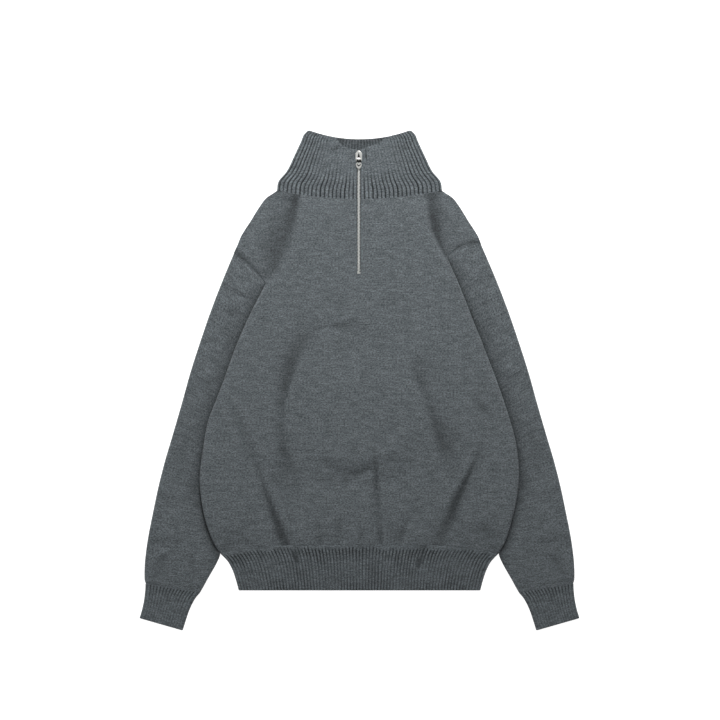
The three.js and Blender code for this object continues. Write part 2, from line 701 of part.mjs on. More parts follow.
function makeHem() {
  const rows = [0, 0.16, 0.4, 0.7, 1];
  const ribs = ribColumns(HEM_RIBS, [0.5]);
  const plain = steps(20);
  const lowest = BAND_WALL + BAND_HOLLOW;
  const place = (across, down, z) => {
    const [x, y] = hemPoint(across, down);
    return [x, y, z];
  };
  const outer = rows.map((v) =>
    ribs.map(({ at, rise }) => place(at, v, lowest + BAND_FURROW + RIB_RISE * rise)),
  );
  const inner = rows.map((v) => plain.map((at) => place(at, v, lowest)));
  const outerAt = ribs.map(({ at }) => at);
  add("hem_front", wall({ outer, inner, outerAt, innerAt: plain }), ribKnit);

  const under = steps(12);
  add(
    "hem_back",
    wall({
      outer: rows.map((v) => under.map((at) => place(at, v, 0))),
      inner: rows.map((v) => under.map((at) => place(at, v, BAND_WALL))),
    }),
    ribKnit,
  );
}

// The collar's strip from the zip's left edge round the left side, the back and the right side to the zip.
function makeCollar() {
  const rows = [0, 0.12, 0.25, 0.42, 0.7, 1];
  const stations = (frontColumns, foldAngles, backColumns) => [
    ...frontColumns.map(({ at, rise }) => ({ side: -1, from: "zip", at, angle: 90, rise })),
    ...foldAngles.map((angle) => ({ side: -1, from: "fold", at: 1, angle, rise: 1 })),
    ...backColumns.map((at) => ({ side: -1, from: "back", at, angle: -90, rise: 1 })),
    ...foldAngles.map((angle) => ({ side: 1, from: "fold", at: 1, angle, rise: 1 })).reverse(),
    ...frontColumns.map(({ at, rise }) => ({ side: 1, from: "zip", at, angle: 90, rise })).reverse(),
  ];
  const point = (station, v, radiusAt) => {
    const flat = tableAt(COLLAR_SIDE, "up", "half", v) - COLLAR_RADIUS;
    const radius = radiusAt(station.rise);
    const angle = THREE.MathUtils.degToRad(station.angle);
    let x = station.side * flat;
    if (station.from === "zip") x = mix(ZIP_X + station.side * SLIT_HALF, station.side * flat, station.at);
    if (station.from === "back") x = mix(-flat, flat, station.at);
    const s = clamp01(Math.abs(x) / flat);
    const front = mix(
      COLLAR_BASE - FRONT_NECK_DROP * (1 - s * s),
      COLLAR_TOP - FRONT_TOP_DROP * (1 - s ** FRONT_TOP_CURVE),
      v,
    );
    const back = mix(
      COLLAR_BASE + BACK_NECK_RISE * (1 - s * s),
      COLLAR_TOP - BACK_TOP_DROP * (1 - s * s),
      v,
    );
    const y = mix(back, front, (1 + Math.sin(angle)) / 2);
    return [x + station.side * radius * Math.cos(angle), y, COLLAR_RADIUS + radius * Math.sin(angle)];
  };
  const ribs = ribColumns(COLLAR_HALF_RIBS, [0.3, 0.7]);
  const plain = steps(8).map((at) => ({ at, rise: 1 }));
  const behind = steps(COLLAR_BACK_COLUMNS);
  const outerStations = stations(ribs, COLLAR_FOLD_ANGLES, behind);
  const innerStations = stations(plain, COLLAR_FOLD_ANGLES_INSIDE, behind);
  const outer = rows.map((v) =>
    outerStations.map((s) => point(s, v, (rise) => COLLAR_RADIUS - (1 - rise) * RIB_RISE)),
  );
  const inner = rows.map((v) => innerStations.map((s) => point(s, v, () => COLLAR_HOLLOW)));
  const outerAt = placesAlong(outer[0]);
  const innerAt = placesAlong(inner[0]);
  add("collar", wall({ outer, inner, outerAt, innerAt }), ribKnit);
}

// A block with its long edges bevelled, from low to high corner.
function bevelledBar(low, high, bevel) {
  const [x0, y0, z0] = low;
  const [x1, y1, z1] = high;
  const outline = new THREE.Shape();
  outline.moveTo(x0, z0);
  outline.lineTo(x1, z0);
  outline.lineTo(x1, z1 - bevel);
  outline.lineTo(x1 - bevel, z1);
  outline.lineTo(x0 + bevel, z1);
  outline.lineTo(x0, z1 - bevel);
  const bar = new THREE.ExtrudeGeometry(outline, { depth: y1 - y0, bevelEnabled: false });
  return bar.rotateX(Math.PI / 2).translate(0, y1, 0);
}

function makeZip() {
  const tapeTop = TEETH_Z - SEAM_GAP;
  for (const side of ["left", "right"]) {
    const near = ZIP_X + signOf(side) * (SEAM_GAP / 2);
    const far = near + signOf(side) * TAPE_WIDTH;
    const low = [Math.min(near, far), TAPE_END, tapeTop - TAPE_THICK];
    const high = [Math.max(near, far), TAPE_TOP, tapeTop];
    add("zip_tape_" + side, bevelledBar(low, high, 0.2), tapeCloth);
  }
  const stopLength = 3;
  const low = [ZIP_X - TEETH_HALF, SLIT_END + stopLength + 2 * SEAM_GAP, TEETH_Z];
  const high = [ZIP_X + TEETH_HALF, TEETH_TOP, TEETH_Z + TEETH_THICK];
  add("zip_chain", bevelledBar(low, high, 0.6), metal);
  const stopLow = [low[0], SLIT_END + SEAM_GAP, TEETH_Z];
  const stopHigh = [high[0], SLIT_END + SEAM_GAP + stopLength, TEETH_Z + TEETH_THICK + 0.4];
  add("zip_stop", bevelledBar(stopLow, stopHigh, 0.8), metal);
}

makeFront();
makeBack();
makeSleeve("left");
makeSleeve("right");
makeCuff("left");
makeCuff("right");
makeHem();
makeCollar();

// Slider with its bail, an arch that the pull tab's bar swings under. Lengths are from that bar's axis.
const BAIL_Y = 373.5;
const PLATE_Z = 8.1;
const PLATE_THICK = 1.6;
const BAR_Z = PLATE_Z + PLATE_THICK + 1.3;
const BAR_HALF = 0.7;
const BAIL_REACH = 4;
const BAIL_WALL = 1.2;
const BAIL_TOP = BAR_Z + 2.4;
const BAIL_WIDTH = 2.6;
const EYE_HALF = 1.9;
const EYE_FAR = 5.4;
const PULL_LENGTH = 14.6;
const PULL_TILT = 8.5;

function solidOf(geometry) {
  const bare = geometry.clone();
  bare.deleteAttribute("normal");
  bare.deleteAttribute("uv");
  const merged = mergeVertices(bare, 1e-4);
  const triVerts = new Uint32Array(merged.index.array);
  return new wasm.Manifold(
    new wasm.Mesh({ numProp: 3, vertProperties: merged.attributes.position.array, triVerts }),
  );
}

function geometryOf(solid) {
  const { vertProperties, triVerts } = solid.getMesh();
  const geometry = new THREE.BufferGeometry();
  geometry.setAttribute("position", new THREE.BufferAttribute(vertProperties, 3));
  geometry.setIndex(new THREE.BufferAttribute(triVerts, 1));
  geometry.computeVertexNormals();
  return geometry;
}

const outlineOf = (points) => new THREE.Shape(points.map(([x, y]) => new THREE.Vector2(x, y)));

// The plate's edge from its wide upper end, where the teeth part, to the end that the teeth leave closed.
const PLATE_EDGE = [
  { fromBar: 15.8, half: 3 },
  { fromBar: 14.6, half: 5.2 },
  { fromBar: 12.6, half: 6 },
  { fromBar: 6, half: 5.3 },
  { fromBar: -1.2, half: 4.6 },
  { fromBar: -2.3, half: 3.6 },
];

function makeSlider() {
  const right = PLATE_EDGE.map(({ fromBar, half }) => [half, fromBar]);
  const left = PLATE_EDGE.map(({ fromBar, half }) => [-half, fromBar]).reverse();
  const rounded = { depth: PLATE_THICK - 0.6, bevelThickness: 0.3, bevelSize: 0.3, bevelSegments: 1 };
  const plate = new THREE.ExtrudeGeometry(outlineOf([...left, ...right].reverse()), {
    ...rounded,
    bevelOffset: -0.3,
  }).translate(0, 0, PLATE_Z + 0.3);
  const coreZ = TEETH_Z + TEETH_THICK + SEAM_GAP;
  const core = new THREE.BoxGeometry(4.2, 12, PLATE_Z + 0.5 - coreZ);
  core.translate(0, 6, (PLATE_Z + 0.5 + coreZ) / 2);
  const arch = outlineOf([
    [-BAIL_REACH, PLATE_Z + 0.5],
    [BAIL_REACH, PLATE_Z + 0.5],
    [BAIL_REACH, BAIL_TOP - 1],
    [BAIL_REACH - 1, BAIL_TOP],
    [1 - BAIL_REACH, BAIL_TOP],
    [-BAIL_REACH, BAIL_TOP - 1],
  ]);
  const inside = BAIL_REACH - BAIL_WALL;
  const archTop = BAR_Z + 1.3;
  const tunnel = outlineOf([
    [-inside, PLATE_Z + PLATE_THICK],
    [inside, PLATE_Z + PLATE_THICK],
    [inside, archTop],
    [-inside, archTop],
  ]);
  const across = (shape, width) => {
    const bar = new THREE.ExtrudeGeometry(shape, { depth: width, bevelEnabled: false });
    bar.translate(0, 0, -width / 2);
    return bar.rotateY(Math.PI / 2).rotateX(Math.PI / 2);
  };
  const window = new THREE.ExtrudeGeometry(outlineOf([[0, 13.4], [-1.6, 5.4], [1.6, 5.4]]), {
    depth: 2,
    bevelEnabled: false,
  }).translate(0, 0, PLATE_Z + PLATE_THICK - 0.8);
  const slider = solidOf(plate)
    .add(solidOf(core))
    .add(solidOf(across(arch, BAIL_WIDTH)))
    .subtract(solidOf(across(tunnel, BAIL_WIDTH + 1)))
    .subtract(solidOf(window));
  const mesh = add("zip_slider", geometryOf(slider), metal);
  mesh.position.set(ZIP_X, BAIL_Y, 0);
}

// The pull tab, as half widths from its bar, with an eye that clears the bail at every angle.
const PULL_EDGE = [
  { fromBar: BAR_HALF, half: 3.3 },
  { fromBar: -4.6, half: 3.5 },
  { fromBar: -6.6, half: 4.4 },
  { fromBar: -9.5, half: 4.6 },
  { fromBar: -12.4, half: 3.6 },
  { fromBar: -PULL_LENGTH, half: 1.2 },
];

function makePull() {
  const right = PULL_EDGE.map(({ fromBar, half }) => [half, fromBar]);
  const left = PULL_EDGE.map(({ fromBar, half }) => [-half, fromBar]).reverse();
  const shape = outlineOf([...left, ...right].reverse());
  shape.holes.push(
    outlineOf([
      [-EYE_HALF, -BAR_HALF],
      [EYE_HALF, -BAR_HALF],
      [EYE_HALF, -EYE_FAR],
      [-EYE_HALF, -EYE_FAR],
    ]),
  );
  const tab = new THREE.ExtrudeGeometry(shape, { depth: 2 * BAR_HALF, bevelEnabled: false });
  tab.translate(0, 0, -BAR_HALF);
  const swing = new THREE.Group();
  swing.position.set(ZIP_X, BAIL_Y, BAR_Z);
  swing.rotation.x = THREE.MathUtils.degToRad(PULL_TILT);
  sweater.add(swing);
  add("zip_pull", geometryOf(solidOf(tab)), metal, swing);
}

makeZip();
makeSlider();
makePull();

export default sweater;
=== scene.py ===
# A quarter zip sweater in heathered wool, laid flat on its back. Sizes are in millimetres: +X to the right
# seen from above, +Y to the collar, +Z off the surface. MM makes them metres as each mesh is made.
import math

import bpy
import numpy as np
from mathutils import Matrix, Vector
from mathutils.bvhtree import BVHTree


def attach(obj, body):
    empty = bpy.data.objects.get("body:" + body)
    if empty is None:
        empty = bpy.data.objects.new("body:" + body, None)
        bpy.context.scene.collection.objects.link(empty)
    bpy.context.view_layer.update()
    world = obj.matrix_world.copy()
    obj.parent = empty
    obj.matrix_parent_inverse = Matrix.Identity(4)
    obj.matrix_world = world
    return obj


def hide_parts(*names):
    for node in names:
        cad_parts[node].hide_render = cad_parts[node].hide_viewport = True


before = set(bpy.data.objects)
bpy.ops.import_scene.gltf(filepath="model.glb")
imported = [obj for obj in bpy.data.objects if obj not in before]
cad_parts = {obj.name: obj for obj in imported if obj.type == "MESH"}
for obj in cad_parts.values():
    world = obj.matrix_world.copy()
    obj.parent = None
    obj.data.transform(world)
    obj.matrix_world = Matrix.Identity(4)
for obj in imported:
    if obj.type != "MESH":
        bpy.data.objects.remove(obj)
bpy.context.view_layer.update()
MM = 0.001

# Studio
# The garment is seen from straight above on a white sheet. A wide soft light stands towards the collar, so
# the body grows a little darker to the hem, and a weak one on the left draws the folds.
CAMERA_PLACE = (0.85, 34.85, 2890)
CAMERA_LENS = 85
LIGHTS = {
    "collar_light": {"place": (260, 1700, 1250), "size": 800, "watts": 68},
    "left_light": {"place": (-1500, 300, 900), "size": 900, "watts": 10},
    "ceiling_light": {"place": (0, 0, 4200), "size": 2400, "watts": 13},
}
SKY = {"strength": 0.23, "colour": (1.0, 1.0, 1.0)}
FLOOR = {"size": 9000, "below": 0.4, "grey": 0.35, "glow": 0.95}

bpy.ops.object.select_all(action="DESELECT")
bpy.ops.object.camera_add(location=[c * MM for c in CAMERA_PLACE])
bpy.context.object.data.lens = CAMERA_LENS
bpy.context.scene.camera = bpy.context.object

for name, light in LIGHTS.items():
    place = Vector(light["place"]) * MM
    bpy.ops.object.light_add(type="AREA", location=place)
    lamp = bpy.context.object
    lamp.name = name
    lamp.data.size = light["size"] * MM
    lamp.data.energy = light["watts"]
    lamp.rotation_euler = (-place).to_track_quat("-Z", "Y").to_euler()

world = bpy.data.worlds.new("white_room")
world.use_nodes = True
world.node_tree.nodes["Background"].inputs["Strength"].default_value = SKY["strength"]
world.node_tree.nodes["Background"].inputs["Color"].default_value = (*SKY["colour"], 1)
bpy.context.scene.world = world
bpy.context.scene.view_settings.view_transform = "Standard"

bpy.ops.mesh.primitive_plane_add(size=FLOOR["size"] * MM, location=(0, 0, -FLOOR["below"] * MM))
floor = bpy.context.object
floor.name = "floor"
floor_paint = bpy.data.materials.new("white_sheet")
floor_paint.use_nodes = True
sheet_shader = floor_paint.node_tree.nodes["Principled BSDF"]
sheet_shader.inputs["Base Color"].default_value = (*[FLOOR["grey"]] * 3, 1)
sheet_shader.inputs["Roughness"].default_value = 1
sheet_shader.inputs["Emission Color"].default_value = (1, 1, 1, 1)
sheet_shader.inputs["Emission Strength"].default_value = FLOOR["glow"]
floor.data.materials.append(floor_paint)

# Front panel
# One piece of plain knit, wool in several greys spun together. It is linked to the collar, the hem band,
# the sleeves and the back, and slit down the middle for the zip. It lies on the back and the tucked sleeves.
JERSEY_WALL = 2.4
JERSEY_COLOUR = (0.0786, 0.0891, 0.0955)
WALE = 2.3
COURSE = 1.75
SEAM_LAP = 0.35
BODY_EDGE = {
    "y": [-293, -271, -237, -203, -169, -135, -101, -67, -33, 1, 35, 69, 103, 137, 164, 208],
    "left": [237, 249, 261, 268, 271, 268, 263, 256, 243, 230, 218, 205, 190, 173, 159, 137],
    "right": [237, 248, 258, 266, 270, 269, 264, 255, 244, 232, 219, 206, 192, 179, 168, 149],
}
ARMHOLE = {
    "left": {"top": (213.4, 216), "fold": (159, 164), "under": (115, 48)},
    "right": {"top": (206.6, 231), "fold": (149, 208), "under": (115, 48)},
}
FOLD_AT = 5 / 12
ARMHOLE_HEIGHT = 6.8
ARMHOLE_REACH = 12
SHOULDER = {
    "y": [216, 231, 244, 258, 271, 285, 298, 312, 321],
    "x": [213.4, 206.6, 201.5, 193, 184.5, 176, 167.5, 155.6, 140.3],
}
HEM_SEAM = -293
HEM_SEAM_RISE = 14
NECK_HALF = 140.3
NECK_Y = 322
NECK_DROP = 15
ZIP_X = -1.2
SLIT_HALF = 3.1
SLIT_END = 181
CHEST_DIP = 5.7
FRONT_EDGE_COLUMNS = 26
FRONT_CHEST_COLUMNS = 52
FRONT_ROWS_BELOW = 150
FRONT_ROWS_ABOVE = 54
EDGE_STRIP = 30
EDGE_CROWDING = 1.25
FRONT_SMOOTHED = 14
EDGE_ROLL = {"width": 5, "drop": 2.2}
BELLY = {"middle": (2, -50), "half": (118, 108), "square": 3.2, "height": 3.0}
BELLY_EDGE = {"soft": 0.3, "soft_top": 0.8}
HOLLOW_DEPTH = 4
HOLLOW_SHADE = 0.62
SEAM_SHADE = {"reach": 1.6, "depth": 0.55}
FOLD_DEEPEST = 3
OVER_BACK = 5
NECK_SEAM = {"height": 7.6, "at_shoulder": 5.3, "slope": 0.3, "reach": 16}
ABOVE_HEM = {"height": 6.9, "reach": 15}

# Folds of the front: three places along each, its half width, its depth, and the height of the ridge
# beside it, which is over 0 to the left of its course and under 0 to the right
FRONT_FOLDS = [
    ((98, -352), (154, -226), (203, -118), 9, 6.4, 1.8),
    ((-92, -352), (-142, -232), (-180, -124), 9.5, 6.4, -1.7),
    ((-88, 88), (-130, -50), (-112, -172), 18, 4.0, 1.0),
    ((96, 16), (126, -66), (156, -156), 18, 3.6, -0.9),
    ((176, -16), (206, -50), (234, -76), 9, 1.8, -0.5),
    ((26, -112), (32, -203), (40, -300), 6, 4.4, 0.9),
    ((-60, -140), (-18, -160), (22, -142), 10, 2.2, 0.6),
    ((60, -306), (74, -260), (98, -216), 7, 2.6, -0.8),
    ((-104, -158), (-10, -174), (74, -160), 11, 0.9, 0.5),
    ((-104, 58), (-50, 92), (24, 80), 12, 1.7, 0.4),
    ((-98, 62), (-64, 58), (-30, 48), 7, 0.6, 0.3),
    ((-33, -229), (-36, -262), (-42, -294), 6, 2.2, 0.6),
    ((-74, -240), (-68, -268), (-60, -300), 6, 2.2, -0.6),
    ((8, -245), (4, -270), (10, -296), 5, 1.4, 0.5),
    ((128, -292), (150, -274), (176, -262), 6, 1.6, 0.6),
    ((166, -240), (202, -252), (236, -250), 17, 1.9, 0.4),
    ((-206, -258), (-186, -276), (-168, -296), 6, 1.6, 0.6),
    ((-98, 372), (-120, 256), (-158, 172), 15, 4.6, 0.9),
    ((-118, 350), (-138, 262), (-172, 190), 26, 1.7, 0),
    ((116, 372), (128, 262), (164, 178), 11, 4.4, -0.9),
    ((124, 268), (133, 238), (148, 208), 8, 2.6, -0.3),
    ((128, 350), (146, 270), (174, 200), 20, 0.9, 0),
    ((-222, -30), (-196, -84), (-176, -140), 15, 1.5, 0.3),
    ((208, -90), (196, -134), (190, -180), 12, 1.0, -0.3),
    ((-60, 150), (-40, 138), (-14, 140), 9, 0.6, 0.2),
    ((20, 128), (58, 138), (104, 120), 10, 0.7, 0.2),
]


def ease(t):
    t = np.clip(t, 0, 1)
    return t * t * (3 - 2 * t)


def mix(a, b, t):
    return a + (b - a) * t


def sign_of(side):
    return -1 if side == "left" else 1


def along(table, key, column, at):
    """A column of a table at places between its rows, on a smooth curve through them."""
    keys, values = np.array(table[key], float), np.array(table[column], float)
    slopes = np.gradient(values, keys)
    i = np.clip(np.searchsorted(keys, at, side="right") - 1, 0, len(keys) - 2)
    step = keys[i + 1] - keys[i]
    t = np.clip((at - keys[i]) / step, 0, 1)
    bend = t * (1 - t) * step * (slopes[i] * (1 - t) - slopes[i + 1] * t)
    return mix(values[i], values[i + 1], ease(t)) + bend


def armhole(side, t):
    """Places on a side's armhole seam, at t from 0 on the shoulder to 1 at the underarm."""
    top, fold, under = (np.array(ARMHOLE[side][k], float) for k in ("top", "fold", "under"))
    s = FOLD_AT
    bend = (fold - (1 - s) ** 2 * top - s**2 * under) / (2 * s * (1 - s))
    t = np.asarray(t, float)[..., None]
    places = (1 - t) ** 2 * top + 2 * t * (1 - t) * bend + t**2 * under
    return places * (sign_of(side), 1)


def body_edge(side, y):
    return along(BODY_EDGE, "y", side, y)


def hem_seam(x):
    return HEM_SEAM + HEM_SEAM_RISE * (1 - (x / BODY_EDGE["left"][0]) ** 4)


def front_neck(x):
    return NECK_Y - NECK_DROP * (1 - (x / NECK_HALF) ** 2)


def face_of(node, plan, upper=True):
    """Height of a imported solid's upper or lower face at places of the plan."""
    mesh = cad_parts[node].data
    tree = BVHTree.FromPolygons([v.co for v in mesh.vertices], [p.vertices for p in mesh.polygons])
    down = Vector((0, 0, -1 if upper else 1))
    heights = []
    for x, y in plan.reshape(-1, 2) * MM:
        start = Vector((x, y, -down.z))
        hit = tree.ray_cast(start, down)[0] or tree.find_nearest(Vector((x, y, 0.02 if upper else 0)))[0]
        heights.append(hit.z)
    return np.array(heights).reshape(plan.shape[:-1]) / MM


def relaxed(height, rounds, wrapped=False):
    """Heights with the facets of the solid smoothed away."""
    for _ in range(rounds):
        wide = np.pad(height, ((0, 0), (1, 1)), mode="wrap" if wrapped else "edge")
        wide = np.pad(wide, ((1, 1), (0, 0)), mode="edge")
        height = (wide[:-2, 1:-1] + wide[2:, 1:-1] + wide[1:-1, :-2] + wide[1:-1, 2:]) / 4
    return height


def fold_relief(plan, folds):
    """How far folds sink or lift the cloth. Each is uneven along its length, and steeper by its ridge."""
    t = np.linspace(0, 1, 41)
    relief = np.zeros(plan.shape[:-1])
    for number, (*path, half_width, depth, ridge) in enumerate(folds):
        a, b, c = (np.array(place, float) for place in path)
        weights = np.stack([(1 - t) * (1 - 2 * t), 4 * t * (1 - t), t * (2 * t - 1)], 1)
        line = weights @ np.stack([a, b, c])
        gap = plan[..., None, :] - line
        nearest = np.argmin((gap**2).sum(-1), -1)
        gap = np.take_along_axis(gap, nearest[..., None, None], -2)[..., 0, :]
        course = np.gradient(line, axis=0)[nearest]
        course /= np.linalg.norm(course, axis=-1, keepdims=True)
        beside = course[..., 0] * gap[..., 1] - course[..., 1] * gap[..., 0]
        off = np.hypot(gap[..., 0], gap[..., 1])
        s = t[nearest]
        uneven = (0.72 + 0.28 * np.cos(9 * s + 2.1 * number)) * np.sin(math.pi * np.clip(0.1 + 0.8 * s, 0, 1))
        width = half_width * (0.8 + 0.35 * np.sin(5 * s + number))
        steep = mix(1.2, 0.62, ease(0.5 + 0.5 * np.sign(ridge) * beside / width))
        relief -= depth * uneven * np.exp(-((off / (steep * width)) ** 2))
        lip = 1.7 * width * np.sign(ridge)
        lifted = np.exp(-(((beside - lip) / width) ** 2) - (np.maximum(off - np.abs(beside), 0) / width) ** 2)
        relief += abs(ridge) * uneven * lifted
    return relief


def hand_unevenness(plan, height, seed):
    """Low swells that no cloth laid down by hand is free of."""
    random = np.random.default_rng(seed)
    swell = np.zeros(plan.shape[:-1])
    for wavelength in (118, 83, 61, 44, 33):
        turn, phase = random.uniform(0, 2 * math.pi, 2)
        across = plan[..., 0] * math.cos(turn) + plan[..., 1] * math.sin(turn)
        bent = across + 12 * np.sin(plan[..., 1] / 57 + phase)
        swell += np.sin(2 * math.pi * bent / wavelength + phase) * wavelength / 118
    return height * swell / 2.5


def cloth(name, points, grain, wall, furrow=None, ribs=None, inside=None, closed=False, left_out=None):
    """A sheet of cloth: a grid whose points are moved into rows and columns, given its wall and soft edges.

    The furrow values are painted shade that darkens its outer skin, and the ribs raise or sink it. Inside is
    that pair for the inner skin.
    """
    rows, columns = points.shape[:2]
    bpy.ops.object.select_all(action="DESELECT")
    bpy.ops.mesh.primitive_grid_add(x_subdivisions=columns - 1, y_subdivisions=rows - 1, size=1)
    sheet = bpy.context.object
    sheet.name = name
    mesh = sheet.data
    mesh.name = name
    mesh.vertices.foreach_set("co", (points * MM).astype(np.float32).ravel())
    corners = np.empty(len(mesh.loops), np.int32)
    mesh.loops.foreach_get("vertex_index", corners)
    at = (grain * MM).reshape(-1, 2)[corners]
    mesh.uv_layers[0].data.foreach_set("uv", at.astype(np.float32).ravel())
    plain = np.zeros((rows, columns))
    skins = {"furrow": plain if furrow is None else furrow, "ribs": plain if ribs is None else ribs}
    skins["furrow_inside"], skins["ribs_inside"] = (skins["furrow"], plain) if inside is None else inside
    for key, values in skins.items():
        mesh.attributes.new(key, "FLOAT", "POINT")
        mesh.attributes[key].data.foreach_set("value", values.astype(np.float32).ravel())
    if left_out is not None:
        middles = np.array([p.center for p in mesh.polygons]) / MM
        bpy.ops.object.mode_set(mode="EDIT")
        bpy.ops.mesh.select_mode(type="FACE")
        bpy.ops.object.mode_set(mode="OBJECT")
        mesh.polygons.foreach_set("select", left_out(middles[:, 0], middles[:, 1]))
        bpy.ops.object.mode_set(mode="EDIT")
        bpy.ops.mesh.delete(type="FACE")
        bpy.ops.object.mode_set(mode="OBJECT")
    if closed:
        bpy.ops.object.mode_set(mode="EDIT")
        bpy.ops.mesh.select_all(action="SELECT")
        bpy.ops.mesh.remove_doubles(threshold=1e-6)
        bpy.ops.object.mode_set(mode="OBJECT")
    solidify = sheet.modifiers.new("wall", "SOLIDIFY")
    solidify.thickness = wall * MM
    solidify.offset = -1
    outer = len(mesh.vertices)
    bpy.ops.object.modifier_apply(modifier="wall")
    for key in ("furrow", "ribs"):
        values, within = (np.empty(len(mesh.vertices), np.float32) for _ in range(2))
        mesh.attributes[key].data.foreach_get("value", values)
        mesh.attributes[key + "_inside"].data.foreach_get("value", within)
        values[outer:] = within[outer:]
        mesh.attributes[key].data.foreach_set("value", values)
        mesh.attributes.remove(mesh.attributes[key + "_inside"])
    bevel = sheet.modifiers.new("soft_edge", "BEVEL")
    bevel.width = 0.36 * wall * MM
    bevel.segments = 2
    bevel.limit_method = "ANGLE"
    bevel.angle_limit = math.radians(62)
    bpy.ops.object.modifier_apply(modifier="soft_edge")
    raised = np.empty(len(mesh.vertices), np.float32)
    mesh.attributes["ribs"].data.foreach_get("value", raised)
    places = np.empty(len(mesh.vertices) * 3, np.float32)
    mesh.vertices.foreach_get("co", places)
    places[2::3] += raised * MM
    mesh.vertices.foreach_set("co", places)
    mesh.attributes.remove(mesh.attributes["ribs"])
    bpy.ops.object.shade_smooth()
    return sheet


def front_plan():
    """Places of the front's grid: rows from the hem seam to the neck, columns from edge to edge."""
    inward = np.linspace(0, 1, FRONT_EDGE_COLUMNS + 1) ** EDGE_CROWDING * EDGE_STRIP
    chest = np.linspace(0, 1, FRONT_CHEST_COLUMNS + 1)[1:]

    def lower(side, y):
        edge = sign_of(side) * (body_edge(side, y) - inward)
        inner = mix(edge[-1], ZIP_X + sign_of(side) * SLIT_HALF, chest)
        return np.concatenate([edge, inner])

    def top(side):
        y = np.linspace(ARMHOLE[side]["top"][1], SHOULDER["y"][-1], FRONT_EDGE_COLUMNS + 1)
        x = sign_of(side) * along(SHOULDER, "y", "x", y)
        neck_x = mix(sign_of(side) * NECK_HALF, ZIP_X + sign_of(side) * SLIT_HALF, chest)
        return np.stack([np.concatenate([x, neck_x]), np.concatenate([y, front_neck(neck_x) + SEAM_LAP])], 1)

    below = []
    for t in np.linspace(0, 1, FRONT_ROWS_BELOW + 1):
        ends = {side: mix(HEM_SEAM, ARMHOLE[side]["fold"][1], t) for side in ("left", "right")}
        left, right = lower("left", ends["left"]), lower("right", ends["right"])
        x = np.concatenate([left, [ZIP_X], right[::-1]])
        across = (x - x[0]) / (x[-1] - x[0])
        rise = HEM_SEAM_RISE * (1 - ease(t / 0.3)) * (1 - (2 * across - 1) ** 4)
        dip = CHEST_DIP * ease((t - 0.6) / 0.4) * (1 - (2 * across - 1) ** 2)
        below.append(np.stack([x, mix(ends["left"], ends["right"], across) + rise - dip], 1))
    corner = below[-1]
    left_top, right_top = top("left"), top("right")
    summit = np.concatenate([left_top, [[ZIP_X, front_neck(ZIP_X) + SEAM_LAP]], right_top[::-1]])
    last = len(corner) - 1
    from_edge = np.minimum(np.arange(last + 1), last - np.arange(last + 1))
    pull = ease(1 - from_edge / FRONT_EDGE_COLUMNS)[:, None]
    on_left = (np.arange(last + 1) <= last / 2)[:, None]
    above = []
    for v in np.linspace(0, 1, FRONT_ROWS_ABOVE + 1)[1:]:
        seam = {side: armhole(side, (1 - v) * FOLD_AT) for side in ("left", "right")}
        lag = {
            "left": seam["left"] - mix(corner[0], summit[0], v),
            "right": seam["right"] - mix(corner[last], summit[last], v),
        }
        above.append(mix(corner, summit, v) + pull * np.where(on_left, lag["left"], lag["right"]))
    return np.array(below + above)


